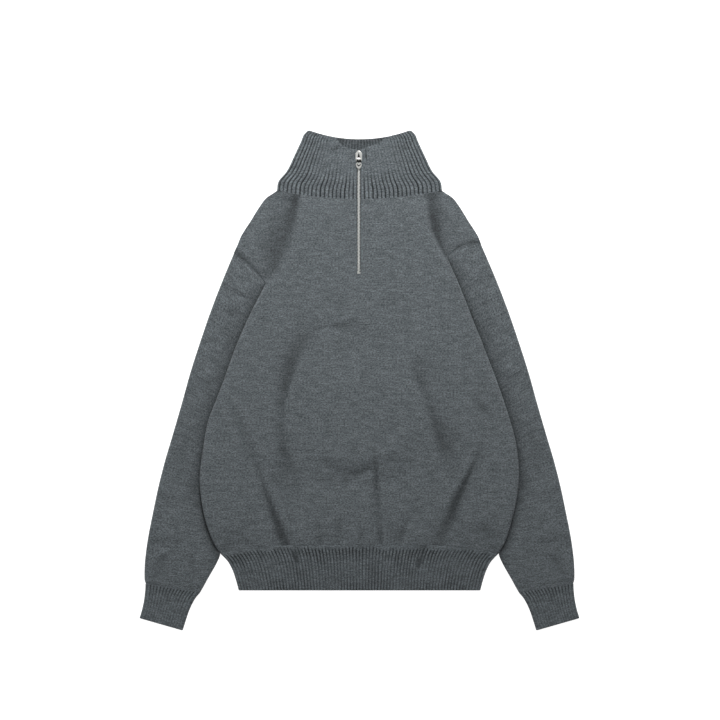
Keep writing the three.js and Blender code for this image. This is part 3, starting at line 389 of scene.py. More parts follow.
def wool(name, colour, wale, course, stitch):
    """Knitted wool: dark and light fibres drawn out along the courses, under the loops of the stitches. Shade
    is painted in.
    """
    material = bpy.data.materials.new(name)
    material.use_nodes = True
    nodes, links = material.node_tree.nodes, material.node_tree.links
    shader = nodes["Principled BSDF"]
    shader.inputs["Roughness"].default_value = 0.92
    shader.inputs["Specular IOR Level"].default_value = 0.18
    shader.inputs["Sheen Weight"].default_value = 0.22
    shader.inputs["Sheen Roughness"].default_value = 0.45
    shader.inputs["Sheen Tint"].default_value = (0.75, 0.8, 0.84, 1)
    grain = nodes.new("ShaderNodeUVMap")
    grain.uv_map = "UVMap"

    def stretched(along_courses, across_courses, detail, roughness):
        mapping = nodes.new("ShaderNodeMapping")
        mapping.inputs["Scale"].default_value = (along_courses, across_courses, 1)
        links.new(grain.outputs["UV"], mapping.inputs["Vector"])
        noise = nodes.new("ShaderNodeTexNoise")
        noise.noise_dimensions = "2D"
        noise.inputs["Scale"].default_value = 1
        noise.inputs["Detail"].default_value = detail
        noise.inputs["Roughness"].default_value = roughness
        links.new(mapping.outputs["Vector"], noise.inputs["Vector"])
        return noise.outputs["Fac"]

    def worked(operation, *values):
        node = nodes.new("ShaderNodeMath")
        node.operation = operation
        for socket, value in zip(node.inputs, values):
            if isinstance(value, (int, float)):
                socket.default_value = value
            else:
                links.new(value, socket)
        return node.outputs[0]

    def ramp(value, low, high, dark, light):
        node = nodes.new("ShaderNodeMapRange")
        node.inputs["From Min"].default_value = low
        node.inputs["From Max"].default_value = high
        node.inputs["To Min"].default_value = dark
        node.inputs["To Max"].default_value = light
        links.new(value, node.inputs["Value"])
        return node.outputs["Result"]

    flecks = ramp(stretched(330, 520, 3, 0.75), 0.3, 0.7, 0.38, 1.66)
    streaks = ramp(stretched(64, 330, 2, 0.5), 0.3, 0.7, 0.85, 1.15)
    clouds = ramp(stretched(46, 115, 2, 0.5), 0.3, 0.7, 0.88, 1.12)
    fibres = stretched(1300, 1900, 2, 0.7)
    hairs = ramp(fibres, 0.3, 0.7, 0.78, 1.22)

    place = nodes.new("ShaderNodeSeparateXYZ")
    links.new(grain.outputs["UV"], place.inputs[0])
    across = worked("FRACT", worked("MULTIPLY", place.outputs["X"], 1 / (wale * MM)))
    from_middle = worked("ABSOLUTE", worked("SUBTRACT", across, 0.5))
    legs = worked("SINE", worked("MULTIPLY", from_middle, 2 * math.pi))
    courses = worked("MULTIPLY", place.outputs["Y"], 1 / (course * MM))
    climbed = worked("SUBTRACT", courses, worked("MULTIPLY", from_middle, 1.5))
    loops = worked("MULTIPLY_ADD", worked("COSINE", worked("MULTIPLY", climbed, 2 * math.pi)), 0.32, 0.68)
    height = worked("MULTIPLY", worked("POWER", worked("ABSOLUTE", legs), 0.7), loops)
    # Painted shade: the colour darkens between the stitch loops, where they sink.
    shade = ramp(height, 0, 1, 1 - stitch, 1 + 0.45 * stitch)

    # Painted shade: the furrow attribute darkens the colour in rib furrows, fold creases, along seams, beside
    # the body's edge and inside the collar.
    depth = nodes.new("ShaderNodeAttribute")
    depth.attribute_name = "furrow"
    sunk = ramp(depth.outputs["Fac"], 0, 1, 1.16, 0.1)
    tone = flecks
    for part in (streaks, clouds, hairs, shade, sunk):
        tone = worked("MULTIPLY", tone, part)
    scale = nodes.new("ShaderNodeVectorMath")
    scale.operation = "SCALE"
    scale.inputs[0].default_value = colour
    links.new(tone, scale.inputs["Scale"])
    links.new(scale.outputs["Vector"], shader.inputs["Base Color"])

    bump = nodes.new("ShaderNodeBump")
    bump.inputs["Strength"].default_value = 0.8
    bump.inputs["Distance"].default_value = 0.55 * MM
    links.new(worked("ADD", height, worked("MULTIPLY", fibres, 0.45)), bump.inputs["Height"])
    links.new(bump.outputs["Normal"], shader.inputs["Normal"])
    return material


jersey = wool("heathered_jersey", JERSEY_COLOUR, WALE, COURSE, 0.3)

plan = front_plan()
height = relaxed(face_of("front", plan), FRONT_SMOOTHED)
folds = fold_relief(plan, FRONT_FOLDS)
from_belly = (np.abs((plan - BELLY["middle"]) / BELLY["half"]) ** BELLY["square"]).sum(-1)
from_belly = from_belly ** (1 / BELLY["square"])
upward = (plan[..., 1] - BELLY["middle"][1]) / BELLY["half"][1]
soft = mix(BELLY_EDGE["soft"], BELLY_EDGE["soft_top"], ease(upward + 0.2))
swell = BELLY["height"] * ease((1 - from_belly) / soft)
sunk = np.where(folds < 0, FOLD_DEEPEST * np.tanh(folds / FOLD_DEEPEST), folds)
height += sunk + hand_unevenness(plan, 0.28, 3) + swell
clear = height - OVER_BACK
height = OVER_BACK + (clear + np.hypot(clear, 0.6)) / 2
from_shoulder = np.clip(NECK_HALF - np.abs(plan[..., 0]), 0, None)
at_neck = np.minimum(NECK_SEAM["height"], NECK_SEAM["at_shoulder"] + NECK_SEAM["slope"] * from_shoulder)
to_neck = ease(1 - (front_neck(plan[..., 0]) - plan[..., 1]) / NECK_SEAM["reach"])
height = mix(height, at_neck, to_neck * ease(from_shoulder / 12))
to_hem = ease(1 - (plan[..., 1] - hem_seam(plan[..., 0])) / ABOVE_HEM["reach"])
height = mix(height, np.minimum(height, ABOVE_HEM["height"]), to_hem)
# Painted shade: the colour darkens in the folds' hollows, and in a thin line beside the armhole seam above
# the fold.
front_painted_shade = HOLLOW_SHADE * np.clip(-folds / HOLLOW_DEPTH, 0, 1)
column = np.arange(plan.shape[1])
near_edge = np.minimum(column, column[::-1])
edge_gap = EDGE_STRIP * np.minimum(near_edge / FRONT_EDGE_COLUMNS, 1) ** EDGE_CROWDING
roll = np.clip(1 - edge_gap / EDGE_ROLL["width"], 0, 1)
row = np.arange(plan.shape[0])[:, None]
lower_part = ease((FRONT_ROWS_BELOW + 4 - row) / 8)
to_armhole = ease(1 - edge_gap / ARMHOLE_REACH) * ease((row - FRONT_ROWS_BELOW) / 6)
height = mix(height, ARMHOLE_HEIGHT, to_armhole * (plan[..., 1] < ARMHOLE["right"]["top"][1]))
height -= lower_part * EDGE_ROLL["drop"] * (1 - np.sqrt(1 - roll**2))
seam_painted_shade = SEAM_SHADE["depth"] * np.exp(-((edge_gap / SEAM_SHADE["reach"]) ** 2))
front_painted_shade = np.maximum(front_painted_shade, seam_painted_shade * (row > FRONT_ROWS_BELOW))
front_points = np.concatenate([plan, height[..., None]], -1)


def in_slit(x, y):
    return (np.abs(x - ZIP_X) < SLIT_HALF * 0.9) & (y > SLIT_END)


front = cloth("front_panel", front_points, plan, JERSEY_WALL, furrow=front_painted_shade, left_out=in_slit)
front.data.materials.append(jersey)
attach(front, "garment")
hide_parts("front")

# Back panel
# One piece of the same plain knit. It lies on the surface between the tucked sleeves and climbs on them below
# the underarm. Its edges are turned in under the front's, where the two are linked at the sides.
BACK_SIDE_COLUMNS = 22
BACK_MIDDLE_COLUMNS = 56
BACK_ROWS_BELOW = 84
BACK_ROWS_ABOVE = 60
BACK_TUCK = 3.5
BACK_NECK_RISE = 4
BACK_SMOOTHED = 3
ASIDE = 2000
ARM_INNER_EDGE = {
    "y": [-278, -250, -220, -190, -155, -115, -73, -33, -8, 18, 48],
    "x": [246, 235, 221, 203, 181, 158, 139, 127, 121, 117, 115],
}
BACK_FOLDS = [
    ((-110, -286), (-140, -210), (-160, -130), 9, 0.8, 0),
    ((118, -284), (142, -200), (150, -120), 9, 0.8, 0),
    ((-60, 40), (-20, 20), (40, 34), 14, 0.6, 0),
    ((-84, 250), (-66, 180), (-70, 110), 13, 0.7, 0),
    ((88, 244), (70, 180), (78, 100), 13, 0.7, 0),
]


def back_plan():
    """Places of the back's grid. Above the underarm its side columns are set aside, to be left out."""
    turn_in = np.linspace(0, 1, BACK_SIDE_COLUMNS + 1)
    middle = np.linspace(0, 1, BACK_MIDDLE_COLUMNS + 1)[1:-1]
    below = []
    for t in np.linspace(0, 1, BACK_ROWS_BELOW + 1):
        y = mix(HEM_SEAM, ARMHOLE["left"]["under"][1], t**1.3)
        arm = along(ARM_INNER_EDGE, "y", "x", y) - 10 * (1 - t) - 0.01
        left = -mix(body_edge("left", y) - BACK_TUCK, min(arm, body_edge("left", y) - 12), turn_in)
        right = mix(body_edge("right", y) - BACK_TUCK, min(arm, body_edge("right", y) - 12), turn_in)
        x = np.concatenate([left, mix(left[-1], right[-1], middle), right[::-1]])
        rise = 1 - ease((y - HEM_SEAM) / 150)
        below.append(np.stack([x, y + rise * (hem_seam(x) - HEM_SEAM)], 1))
    underarm = below[-1]
    last = len(underarm) - 1
    across = np.clip((np.arange(last + 1) - BACK_SIDE_COLUMNS) / (last - 2 * BACK_SIDE_COLUMNS), 0, 1)
    shoulder = 14 / (last - 2 * BACK_SIDE_COLUMNS)
    neck = np.clip((across - shoulder) / (1 - 2 * shoulder), 0, 1)
    neck_x = mix(-NECK_HALF, NECK_HALF, neck)
    summit = np.stack([neck_x, NECK_Y + BACK_NECK_RISE * (1 - (neck_x / NECK_HALF) ** 2) + SEAM_LAP], 1)
    for side, share in (("left", across / shoulder), ("right", (1 - across) / shoulder)):
        y = mix(ARMHOLE[side]["top"][1], SHOULDER["y"][-1], share)
        on_shoulder = share < 1
        summit[on_shoulder] = np.stack([sign_of(side) * along(SHOULDER, "y", "x", y), y], 1)[on_shoulder]
    above = []
    first, end = BACK_SIDE_COLUMNS, last - BACK_SIDE_COLUMNS
    steps_in = np.minimum(np.arange(last + 1) - first, end - np.arange(last + 1))
    pull = ease(1 - steps_in / 16)[:, None]
    on_left = (np.arange(last + 1) <= last / 2)[:, None]
    for v in np.linspace(0, 1, BACK_ROWS_ABOVE + 1)[1:]:
        left = armhole("left", 1 - v) - mix(underarm[first], summit[first], v)
        right = armhole("right", 1 - v) - mix(underarm[end], summit[end], v)
        row = mix(underarm, summit, v) + pull * np.where(on_left, left, right)
        row[:first, 0] = -ASIDE
        row[end + 1 :, 0] = ASIDE
        above.append(row)
    return np.array(below + above)


plan = back_plan()
under = face_of("back", np.clip(plan, -400, 400), upper=False)
under = relaxed(under, BACK_SMOOTHED) - fold_relief(plan, BACK_FOLDS)
points = np.concatenate([plan, np.maximum(under, 0)[..., None]], -1)
back = cloth("back_panel", points[:, ::-1], plan[:, ::-1], JERSEY_WALL, left_out=lambda x, y: np.abs(x) > 400)
back.data.materials.append(jersey)
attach(back, "garment")
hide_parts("back")

# Sleeves
# Each is one piece of plain knit, closed to a tube by a seam along its inner edge and linked into the
# armhole. They lie beside the body, their inner sides tucked under it and a little squashed there.
SLEEVE_WALL = 2.2
ARM_EDGE = 2.7
ARM_SQUASHED = 5.3
ARM_NEAR_SEAM = 7.8
SLEEVE_ROWS = 150
SLEEVE_UPPER_COLUMNS = 46
SLEEVE_LOWER_COLUMNS = 26
AWAY_FROM_SEAM = (0.75, -0.66)
BODY_SHADE = {"reach": 10, "depth": 0.72}
SLEEVE_RINGS = {
    "outer_x": [230, 251, 270, 287, 302, 318, 331, 342, 351, 359, 364, 365, 363],
    "outer_y": [176, 122, 67, 14, -40, -95, -139, -183, -226, -267, -305, -334, -344],
    "inner_x": [117, 121, 127, 139, 158, 181, 203, 221, 235, 243.5, 237, 260, 270],
    "inner_y": [18, -8, -33, -73, -115, -155, -190, -220, -250, -277, -297, -341, -359],
    "bow": [0.6, 0.3, 0.1, 0, 0, 0, 0, 0, 0, 0, 0, 0, 0],
    "height": [7.8, 8.4, 8.4, 8.4, 8.4, 8.4, 8.4, 8.4, 8.4, 8.4, 8.4, 8.2, 7.6],
}
SLEEVE_FOLDS = {
    "left": [
        ((-236, 158), (-212, 150), (-184, 134), 6, 1.8, 0.9),
        ((-244, 120), (-216, 114), (-190, 112), 7, 1.5, 0.9),
        ((-262, 62), (-238, 66), (-216, 60), 9, 1.1, 0.7),
        ((-290, -12), (-262, -4), (-246, -16), 11, 1.1, 0.7),
        ((-272, -60), (-292, -110), (-302, -170), 12, 1.3, 0.7),
        ((-340, -200), (-316, -206), (-292, -200), 9, 0.9, 0.7),
        ((-352, -268), (-322, -276), (-290, -262), 9, 1.3, 0.7),
        ((-350, -318), (-330, -300), (-312, -284), 7, 1.3, 0.7),
        ((-286, -330), (-282, -306), (-276, -286), 6, 1.3, 0.7),
    ],
    "right": [
        ((226, 176), (204, 168), (182, 156), 6, 1.5, -0.9),
        ((240, 132), (216, 130), (196, 118), 7, 1.5, -0.7),
        ((262, 84), (240, 84), (216, 76), 9, 1.1, -0.7),
        ((288, -2), (266, 6), (248, -8), 11, 1.1, -0.7),
        ((274, -54), (290, -100), (304, -156), 12, 1.3, -0.7),
        ((336, -190), (314, -200), (290, -190), 9, 0.9, -0.7),
        ((354, -276), (324, -272), (292, -280), 9, 1.3, -0.7),
        ((346, -324), (328, -302), (306, -290), 7, 1.3, -0.7),
    ],
}


def tube_stations(edge, upper, lower):
    """Stations round a flattened tube, from its outer edge over the top: share across, inset, and height."""
    bend = np.linspace(0, math.pi / 2, 5)
    stations = [(0, edge * (1 - math.cos(a)), math.sin(a)) for a in bend]
    stations += [(f, edge * (1 - 2 * f), 1) for f in upper]
    stations += [(1, -edge * (1 - math.cos(a)), math.sin(a)) for a in bend[::-1]]
    stations += [(1, -edge * (1 - math.cos(a)), -math.sin(a)) for a in bend[1:]]
    stations += [(f, edge * (1 - 2 * f), -1) for f in lower[::-1]]
    stations += [(0, edge * (1 - math.cos(a)), -math.sin(a)) for a in bend[::-1]]
    return np.array(stations)


def sleeve_face(side, x, y, full):
    """Height of a sleeve's upper face: squashed under the body, fuller beside it."""
    hidden = mix(ARM_SQUASHED, ARM_NEAR_SEAM, ease((y - 65) / 75))
    face = mix(hidden, full, ease((np.abs(x) - body_edge(side, y) - 8) / 18))
    return np.where(y > ARMHOLE[side]["fold"][1], np.minimum(full, ARM_NEAR_SEAM), face)


def make_sleeve(side):
    top, under = armhole(side, 0.0), armhole(side, 1.0)
    first = {"outer_x": abs(top[0]), "outer_y": top[1], "inner_x": abs(under[0]), "inner_y": under[1]}
    first |= {"bow": 1, "height": 6.8}
    table = {column: [first[column], *values] for column, values in SLEEVE_RINGS.items()}
    table["ring"] = np.arange(len(table["bow"]))
    ring = table["ring"][-1] * np.linspace(0, 1, SLEEVE_ROWS + 1) ** 1.15
    at = {column: along(table, "ring", column, ring)[:, None] for column in SLEEVE_RINGS}
    outer = np.stack([sign_of(side) * at["outer_x"], at["outer_y"]], -1)
    inner = np.stack([sign_of(side) * at["inner_x"], at["inner_y"]], -1)
    width = np.linalg.norm(inner - outer, axis=-1)
    upper = np.linspace(0, 1, SLEEVE_UPPER_COLUMNS + 2)[1:-1]
    lower = np.linspace(0, 1, SLEEVE_LOWER_COLUMNS + 2)[1:-1]
    share, inset, up = tube_stations(ARM_EDGE, upper, lower).T
    f = share + inset / width
    curve = armhole(side, f) - mix(top, under, f[..., None])
    gap = -SEAM_LAP * np.clip(1 - ring, 0, 1)[:, None, None] * np.array(AWAY_FROM_SEAM) * (sign_of(side), 1)
    plan = mix(outer, inner, f[..., None]) + at["bow"][..., None] * curve + gap
    face = sleeve_face(side, plan[..., 0], plan[..., 1], at["height"])
    rumple = fold_relief(plan, SLEEVE_FOLDS[side]) + hand_unevenness(plan, 0.3, 7 if side == "left" else 8)
    clear = ease((np.abs(plan[..., 0]) - body_edge(side, plan[..., 1]) + 4) / 10)
    face = face + np.where(up > 0, rumple * clear, 0)
    creased = np.where(up < 0, np.maximum(-0.5 * rumple, 0), 0)
    z = face / 2 * (1 + up) + creased
    # Painted shade: the colour darkens in the body's shadow beside its edge, in the creases and beside the
    # armhole seam.
    past_body = np.abs(plan[..., 0]) - body_edge(side, np.minimum(plan[..., 1], ARMHOLE[side]["fold"][1]))
    shade = BODY_SHADE["depth"] * np.exp(-np.maximum(past_body, 0) / BODY_SHADE["reach"])
    shade = np.where((up > 0) & (plan[..., 1] < ARMHOLE[side]["fold"][1]), shade, 0)
    shade = np.maximum(shade, HOLLOW_SHADE * np.clip(-rumple / HOLLOW_DEPTH, 0, 1))
    steps = np.linalg.norm(np.diff((outer + inner)[:, 0] / 2, axis=0), axis=1)
    down_sleeve = np.concatenate([[0], np.cumsum(steps)])[:, None]
    shade = np.maximum(shade, SEAM_SHADE["depth"] * np.exp(-((down_sleeve / SEAM_SHADE["reach"]) ** 2)))
    grain = np.stack([(f - 0.5) * width * np.where(up < 0, -1, 1), -down_sleeve + 0 * f], -1)
    points = np.concatenate([plan, z[..., None]], -1)
    if side == "left":
        points, grain, shade = points[:, ::-1], grain[:, ::-1], shade[:, ::-1]
    sleeve = cloth("sleeve_tube_" + side, points, grain, SLEEVE_WALL, furrow=shade, closed=True)
    sleeve.data.materials.append(jersey)
    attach(sleeve, "garment")
    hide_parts("sleeve_" + side)


make_sleeve("left")
make_sleeve("right")

# Cuffs
# Each is a tube of rib knit linked to the sleeve's end: raised ribs with narrow furrows between them. The
# ribs are a little uneven, and draw the cuff in.
RIB_COLOUR = (0.088, 0.1005, 0.108)
RIB_RISE = 0.9
RIB_WALL = 2.9
RIB_COLUMNS = 8
CUFF_RIBS = 15
CUFF_HEIGHT = 8
CUFF_LENGTH = 67
CUFF_SHADE = 0.09
CUFF_GATHERED = 2.2
CUFF_ROWS = 26
RIB_PITCH = 5.6
CUFF_RINGS = {
    "ring": [0, 1, 2, 3, 4],
    "outer_x": [363.3, 363.8, 366, 369.5, 373.5],
    "outer_y": [-344.4, -356, -374, -390, -403],
    "inner_x": [270, 279.5, 288.5, 295, 300],
    "inner_y": [-359.4, -371, -389, -408, -424],
}
rib_knit = wool("heathered_rib", RIB_COLOUR, RIB_PITCH / 2, COURSE, 0.2)


def furrow_of(ribs):
    """How deep in a furrow a place is, from 0 to 1, with the furrows at whole numbers of ribs."""
    return np.exp(-((np.sin(math.pi * ribs) / 0.5) ** 2))


def make_cuff(side):
    ring = np.linspace(0, CUFF_RINGS["ring"][-1], CUFF_ROWS + 1)
    at = {column: along(CUFF_RINGS, "ring", column, ring)[:, None] for column in CUFF_RINGS}
    outer = np.stack([sign_of(side) * at["outer_x"], at["outer_y"]], -1)
    inner = np.stack([sign_of(side) * at["inner_x"], at["inner_y"]], -1)
    width = np.linalg.norm(inner - outer, axis=-1)
    columns = np.linspace(0, 1, CUFF_RIBS * RIB_COLUMNS + 1)[1:-1]
    share, inset, up = tube_stations(CUFF_HEIGHT / 2, columns, columns).T
    f = share + inset / width
    ribs = share * CUFF_RIBS + 0.06 * np.sin(9 * share + ring[:, None])
    furrow = np.where((share > 0) & (share < 1), furrow_of(ribs), 0.25 * np.ones_like(ribs))
    strength = 0.75 + 0.25 * np.sin(7 * share * CUFF_RIBS / 3 + 1)
    strength = strength * (0.62 + 0.75 * ease(1 - ring[:, None] / CUFF_GATHERED))
    z = np.broadcast_to(CUFF_HEIGHT / 2 * (1 + up), ribs.shape)
    sunk = -np.sign(up) * RIB_RISE * furrow * strength * (np.abs(up) == 1)
    plan = mix(outer, inner, f[..., None])
    length = np.linspace(0, 1, CUFF_ROWS + 1)[:, None] * CUFF_LENGTH
    grain = np.stack([(share * CUFF_RIBS + 0 * ribs) * RIB_PITCH, -length + 0 * ribs], -1)
    points = np.concatenate([plan, z[..., None]], -1)
    # Painted shade: the colour is a little darker all over, darker in the rib furrows, most near the top, and
    # round the folded edges.
    shade = CUFF_SHADE + furrow * (0.36 + 0.6 * ease(1 - ring[:, None] / CUFF_GATHERED))
    if side == "left":
        points, grain, shade, sunk = (part[:, ::-1] for part in (points, grain, shade, sunk))
    cuff = cloth("cuff_tube_" + side, points, grain, RIB_WALL, furrow=shade, ribs=sunk, closed=True)
    cuff.data.materials.append(rib_knit)
    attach(cuff, "garment")
    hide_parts("cuff_" + side)


make_cuff("left")
make_cuff("right")

# Hem band
# Two lengths of rib knit, one linked to the front and one to the back, and joined at the sides. They pull
# in, so the ribs fan out to the seam above, and the body blouses a little over them.
HEM_END = -356
HEM_RIBS = 80
HEM_ROWS = 24
HEM_SIDE = {"down": [0, 0.04, 0.22, 0.44, 0.71, 1], "half": [237, 234.6, 223.8, 216, 210, 205]}
HEM_TOP = 6.6
HEM_ROLL = {"width": 4, "drop": 1.3}
HEM_SHADE = 0.17
HEM_FOLDS = [
    ((112, -277), (104, -303), (97, -326), 9, 1.6, 0.5),
    ((-116, -277), (-109, -303), (-104, -322), 9, 1.5, -0.4),
    ((37, -273), (36, -300), (38, -318), 6, 0.5, 0.2),
    ((-60, -277), (-64, -304), (-62, -330), 7, 0.4, 0.2),
    ((168, -283), (160, -314), (158, -340), 8, 0.5, 0.3),
    ((-176, -281), (-168, -312), (-166, -344), 8, 0.5, 0.3),
]


def make_hem(name, upper, node, seed):
    random = np.random.default_rng(seed)
    across = np.linspace(0, 1, HEM_RIBS * RIB_COLUMNS + 1)
    down = np.linspace(0, 1, HEM_ROWS + 1)[:, None]
    half = along(HEM_SIDE, "down", "half", down)
    each, in_ribs = np.arange(HEM_RIBS + 1), across * HEM_RIBS
    wander = np.interp(in_ribs, each, random.normal(0, 0.05, len(each)))
    furrow = furrow_of(in_ribs + wander * np.sin(math.pi * down))
    strength = np.interp(in_ribs, each, random.uniform(0.88, 1.12, len(each)))
    patchy = np.sin(across * 19 + 4 * down) + np.sin(across * 43 - 7 * down + 1)
    gathered = 0.55 + 0.6 * ease(1 - down / 0.45) + 0.2 * ease((down - 0.75) / 0.25)
    strength = strength * (gathered + 0.12 * patchy)
    start = np.interp(in_ribs, each + 0.5, random.uniform(0, 0.1, len(each)))
    strength = strength * ease((down - start) / 0.07)
    x = half * (2 * across - 1)
    seam_x = HEM_SIDE["half"][0] * (2 * across - 1)
    y = mix(hem_seam(seam_x) + SEAM_LAP, HEM_END, down)
    plan = np.stack([x, np.broadcast_to(y, x.shape)], -1)
    edge = np.clip(1 - half * (1 - np.abs(2 * across - 1)) / HEM_ROLL["width"], 0, 1)
    roll = HEM_ROLL["drop"] * (1 - np.sqrt(1 - edge**2))
    rumple = fold_relief(plan, HEM_FOLDS) if upper else 0
    sunk = RIB_RISE * furrow * strength * (-1 if upper else 1)
    z = HEM_TOP - roll + rumple if upper else 0.5 * roll
    grain = np.stack([in_ribs * RIB_PITCH + 0 * y, np.broadcast_to(y, x.shape)], -1)
    points = np.concatenate([plan, z[..., None]], -1)
    # Painted shade: the colour darkens all over as the band slopes away from the light, and more in the rib
    # furrows and in the creases.
    shade = HEM_SHADE + np.clip(furrow * strength, 0, 1.2)
    if upper:
        shade = np.maximum(shade, 0.7 * np.clip(-rumple / 1.2, 0, 1))
        points, grain, shade, sunk = (part[::-1] for part in (points, grain, shade, sunk))
    hem = cloth(name, points, grain, RIB_WALL, furrow=shade, ribs=sunk)
    hem.data.materials.append(rib_knit)
    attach(hem, "garment")
    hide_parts(node)


make_hem("hem_band_front", True, "hem_front", 5)
make_hem("hem_band_back", False, "hem_back", 6)

# Collar
# One strip of the same rib knit, linked round the neck and folded flat at both sides, so that its inner side
# shows behind the front's lower edge. It is stretched smooth near the top of the zip, and full at the sides.
COLLAR_TOP = 424
COLLAR_RADIUS = 3.9
COLLAR_HALF_RIBS = 19
COLLAR_BACK_RIBS = 36
COLLAR_ROWS = 34
COLLAR_WALL = 2.9
FRONT_TOP_BELOW = 1.2
FRONT_LIP = {
    "x": [-44, -38, -34, -27, -18, -1.2, 6, 12, 25, 36, 46, 54],
    "below": [0, 1.5, 8, 13.2, 15.6, 16.6, 15.4, 13.4, 10.6, 6.2, 1.6, 0],
}
BACK_TOP_DROP = 14
COLLAR_SIDE = {"up": [0, 0.17, 0.3, 0.57, 0.83, 0.95, 1], "half": [140.3, 136.9, 125.5, 111.4, 99, 93.4, 88]}
COLLAR_SMOOTH = 0.22
COLLAR_FRONT_RISE = 1.3
COLLAR_SHADE = {"smooth": 0.16, "folds": 0.4, "inside": 0.4, "furrow_inside": 0.5}
COLLAR_FOLDS = [
    ((10.4, 392), (10.8, 382), (12, 371), 1.7, 2.2, 0),
    ((-52, 392), (-38, 393), (-25, 398), 3.4, 1.3, -0.4),
]


def make_collar():
    v = np.linspace(0, 1, COLLAR_ROWS + 1)[:, None]
    front = np.linspace(0, 1, COLLAR_HALF_RIBS * RIB_COLUMNS + 1)
    back = np.linspace(0, 1, COLLAR_BACK_RIBS * RIB_COLUMNS + 1)
    bend = np.radians(np.linspace(90, -90, 13)[1:-1])
    half = np.ones(len(front) + len(bend))
    side = np.concatenate([-half, np.sign(back - 0.5), half])
    up = math.pi / 2 + 0 * front
    angle = np.concatenate([up, bend, 0 * back - math.pi / 2, bend[::-1], up])

    def round_the_neck(over_front, at_bend, over_back):
        turned = np.full(len(bend), float(at_bend))
        return np.concatenate([over_front, turned, over_back, turned, over_front[::-1]])

    ribs = round_the_neck(front * COLLAR_HALF_RIBS, 0, back * COLLAR_BACK_RIBS)
    on_front = round_the_neck(1 + 0 * front, 0, 0 * back)
    on_back = round_the_neck(0 * front, 0, 1 + 0 * back)
    flat = along(COLLAR_SIDE, "up", "half", v) - COLLAR_RADIUS
    zip_edge = ZIP_X + side * SLIT_HALF
    x = mix(zip_edge, side * flat, round_the_neck(front, 1, 0 * back))
    x = np.where(on_back == 1, flat * round_the_neck(0 * front, 0, 2 * back - 1), x)
    s = np.clip(np.abs(x) / flat, 0, 1)
    low_front, low_back = NECK_Y - NECK_DROP * (1 - s * s), NECK_Y + BACK_NECK_RISE * (1 - s * s)
    high_back = COLLAR_TOP - BACK_TOP_DROP * (1 - s * s)
    dip = along(FRONT_LIP, "x", "below", np.clip(x, FRONT_LIP["x"][0], FRONT_LIP["x"][-1]))
    high_front = high_back - FRONT_TOP_BELOW * (1 - s) - dip
    y = mix(mix(low_back, high_back, v), mix(low_front, high_front, v), (1 + np.sin(angle)) / 2)
    full = COLLAR_SMOOTH + 0.95 * np.maximum(ease((s - 0.45) / 0.4), ease((0.62 - v) / 0.4))
    full = full * (0.9 + 0.15 * np.sin(2.3 * ribs + 3 * v) + 0.1 * np.sin(5.1 * ribs - 4 * v))
    furrow = furrow_of(ribs + 0.05 * np.sin(5 * v + ribs)) * np.where(on_front == 1, full, 1)
    furrow = furrow * (on_front + on_back)
    folds = fold_relief(np.stack([x, y], -1), COLLAR_FOLDS) * on_front
    sunk = RIB_RISE * furrow * (on_back - COLLAR_FRONT_RISE * on_front)
    # Painted shade: the colour darkens in the rib furrows, a little where the front is stretched smooth, in
    # the folds, and all over the inner side, which lies in the neck's shadow.
    shade = furrow + COLLAR_SHADE["smooth"] * np.clip(1 - full, 0, 1) * on_front
    shade = shade + COLLAR_SHADE["folds"] * np.clip(-folds, 0, 1.6)
    inner_furrow = furrow_of(ribs + 0.5 + 0.05 * np.sin(4 * v + ribs)) * on_back
    inside = (COLLAR_SHADE["inside"] + COLLAR_SHADE["furrow_inside"] * inner_furrow, -RIB_RISE * inner_furrow)
    z = COLLAR_RADIUS + COLLAR_RADIUS * np.sin(angle) + folds
    x = x + side * COLLAR_RADIUS * np.cos(angle)
    length = np.concatenate([[0], np.cumsum(np.abs(np.diff(ribs)))]) * RIB_PITCH
    points = np.stack([x, y, z], -1)[:, ::-1]
    grain = np.stack([length + 0 * x, y], -1)[:, ::-1]
    shade, sunk, inside = shade[:, ::-1], sunk[:, ::-1], [part[:, ::-1] for part in inside]
    collar = cloth("collar_strip", points, grain, COLLAR_WALL, furrow=shade, ribs=sunk, inside=inside)
    collar.data.materials.append(rib_knit)
    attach(collar, "garment")
    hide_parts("collar")


make_collar()

# Linked seams
# The pieces are joined loop to loop with the same wool. Each seam shows as a row of small slanting loops
# lying in the groove between the two edges.
LOOP = {"length": 2.6, "width": 1.25, "thick": 1.1}
LOOP_PITCH = 2.3
LOOP_SLANT = 32
LOOP_SINK = 0.75
SEAM_MARGIN = 4
CUFF_SEAM_ENDS = [(364.5, -344.3), (270.5, -359.2)]
UNDERSIDE = 0


def copies(name, model, places):
    """Copies of a model, each with its own mesh, at the matrices given, joined to one piece."""
    made = []
    for place in places:
        copy = model.copy()
        copy.data = model.data.copy()
        copy.data.transform(place)
        bpy.context.collection.objects.link(copy)
        made.append(copy)
    bpy.data.objects.remove(model)
    bpy.ops.object.select_all(action="DESELECT")
    for copy in made:
        copy.select_set(True)
    bpy.context.view_layer.objects.active = made[0]
    bpy.ops.object.join()
    bpy.context.object.name = name
    return bpy.context.object


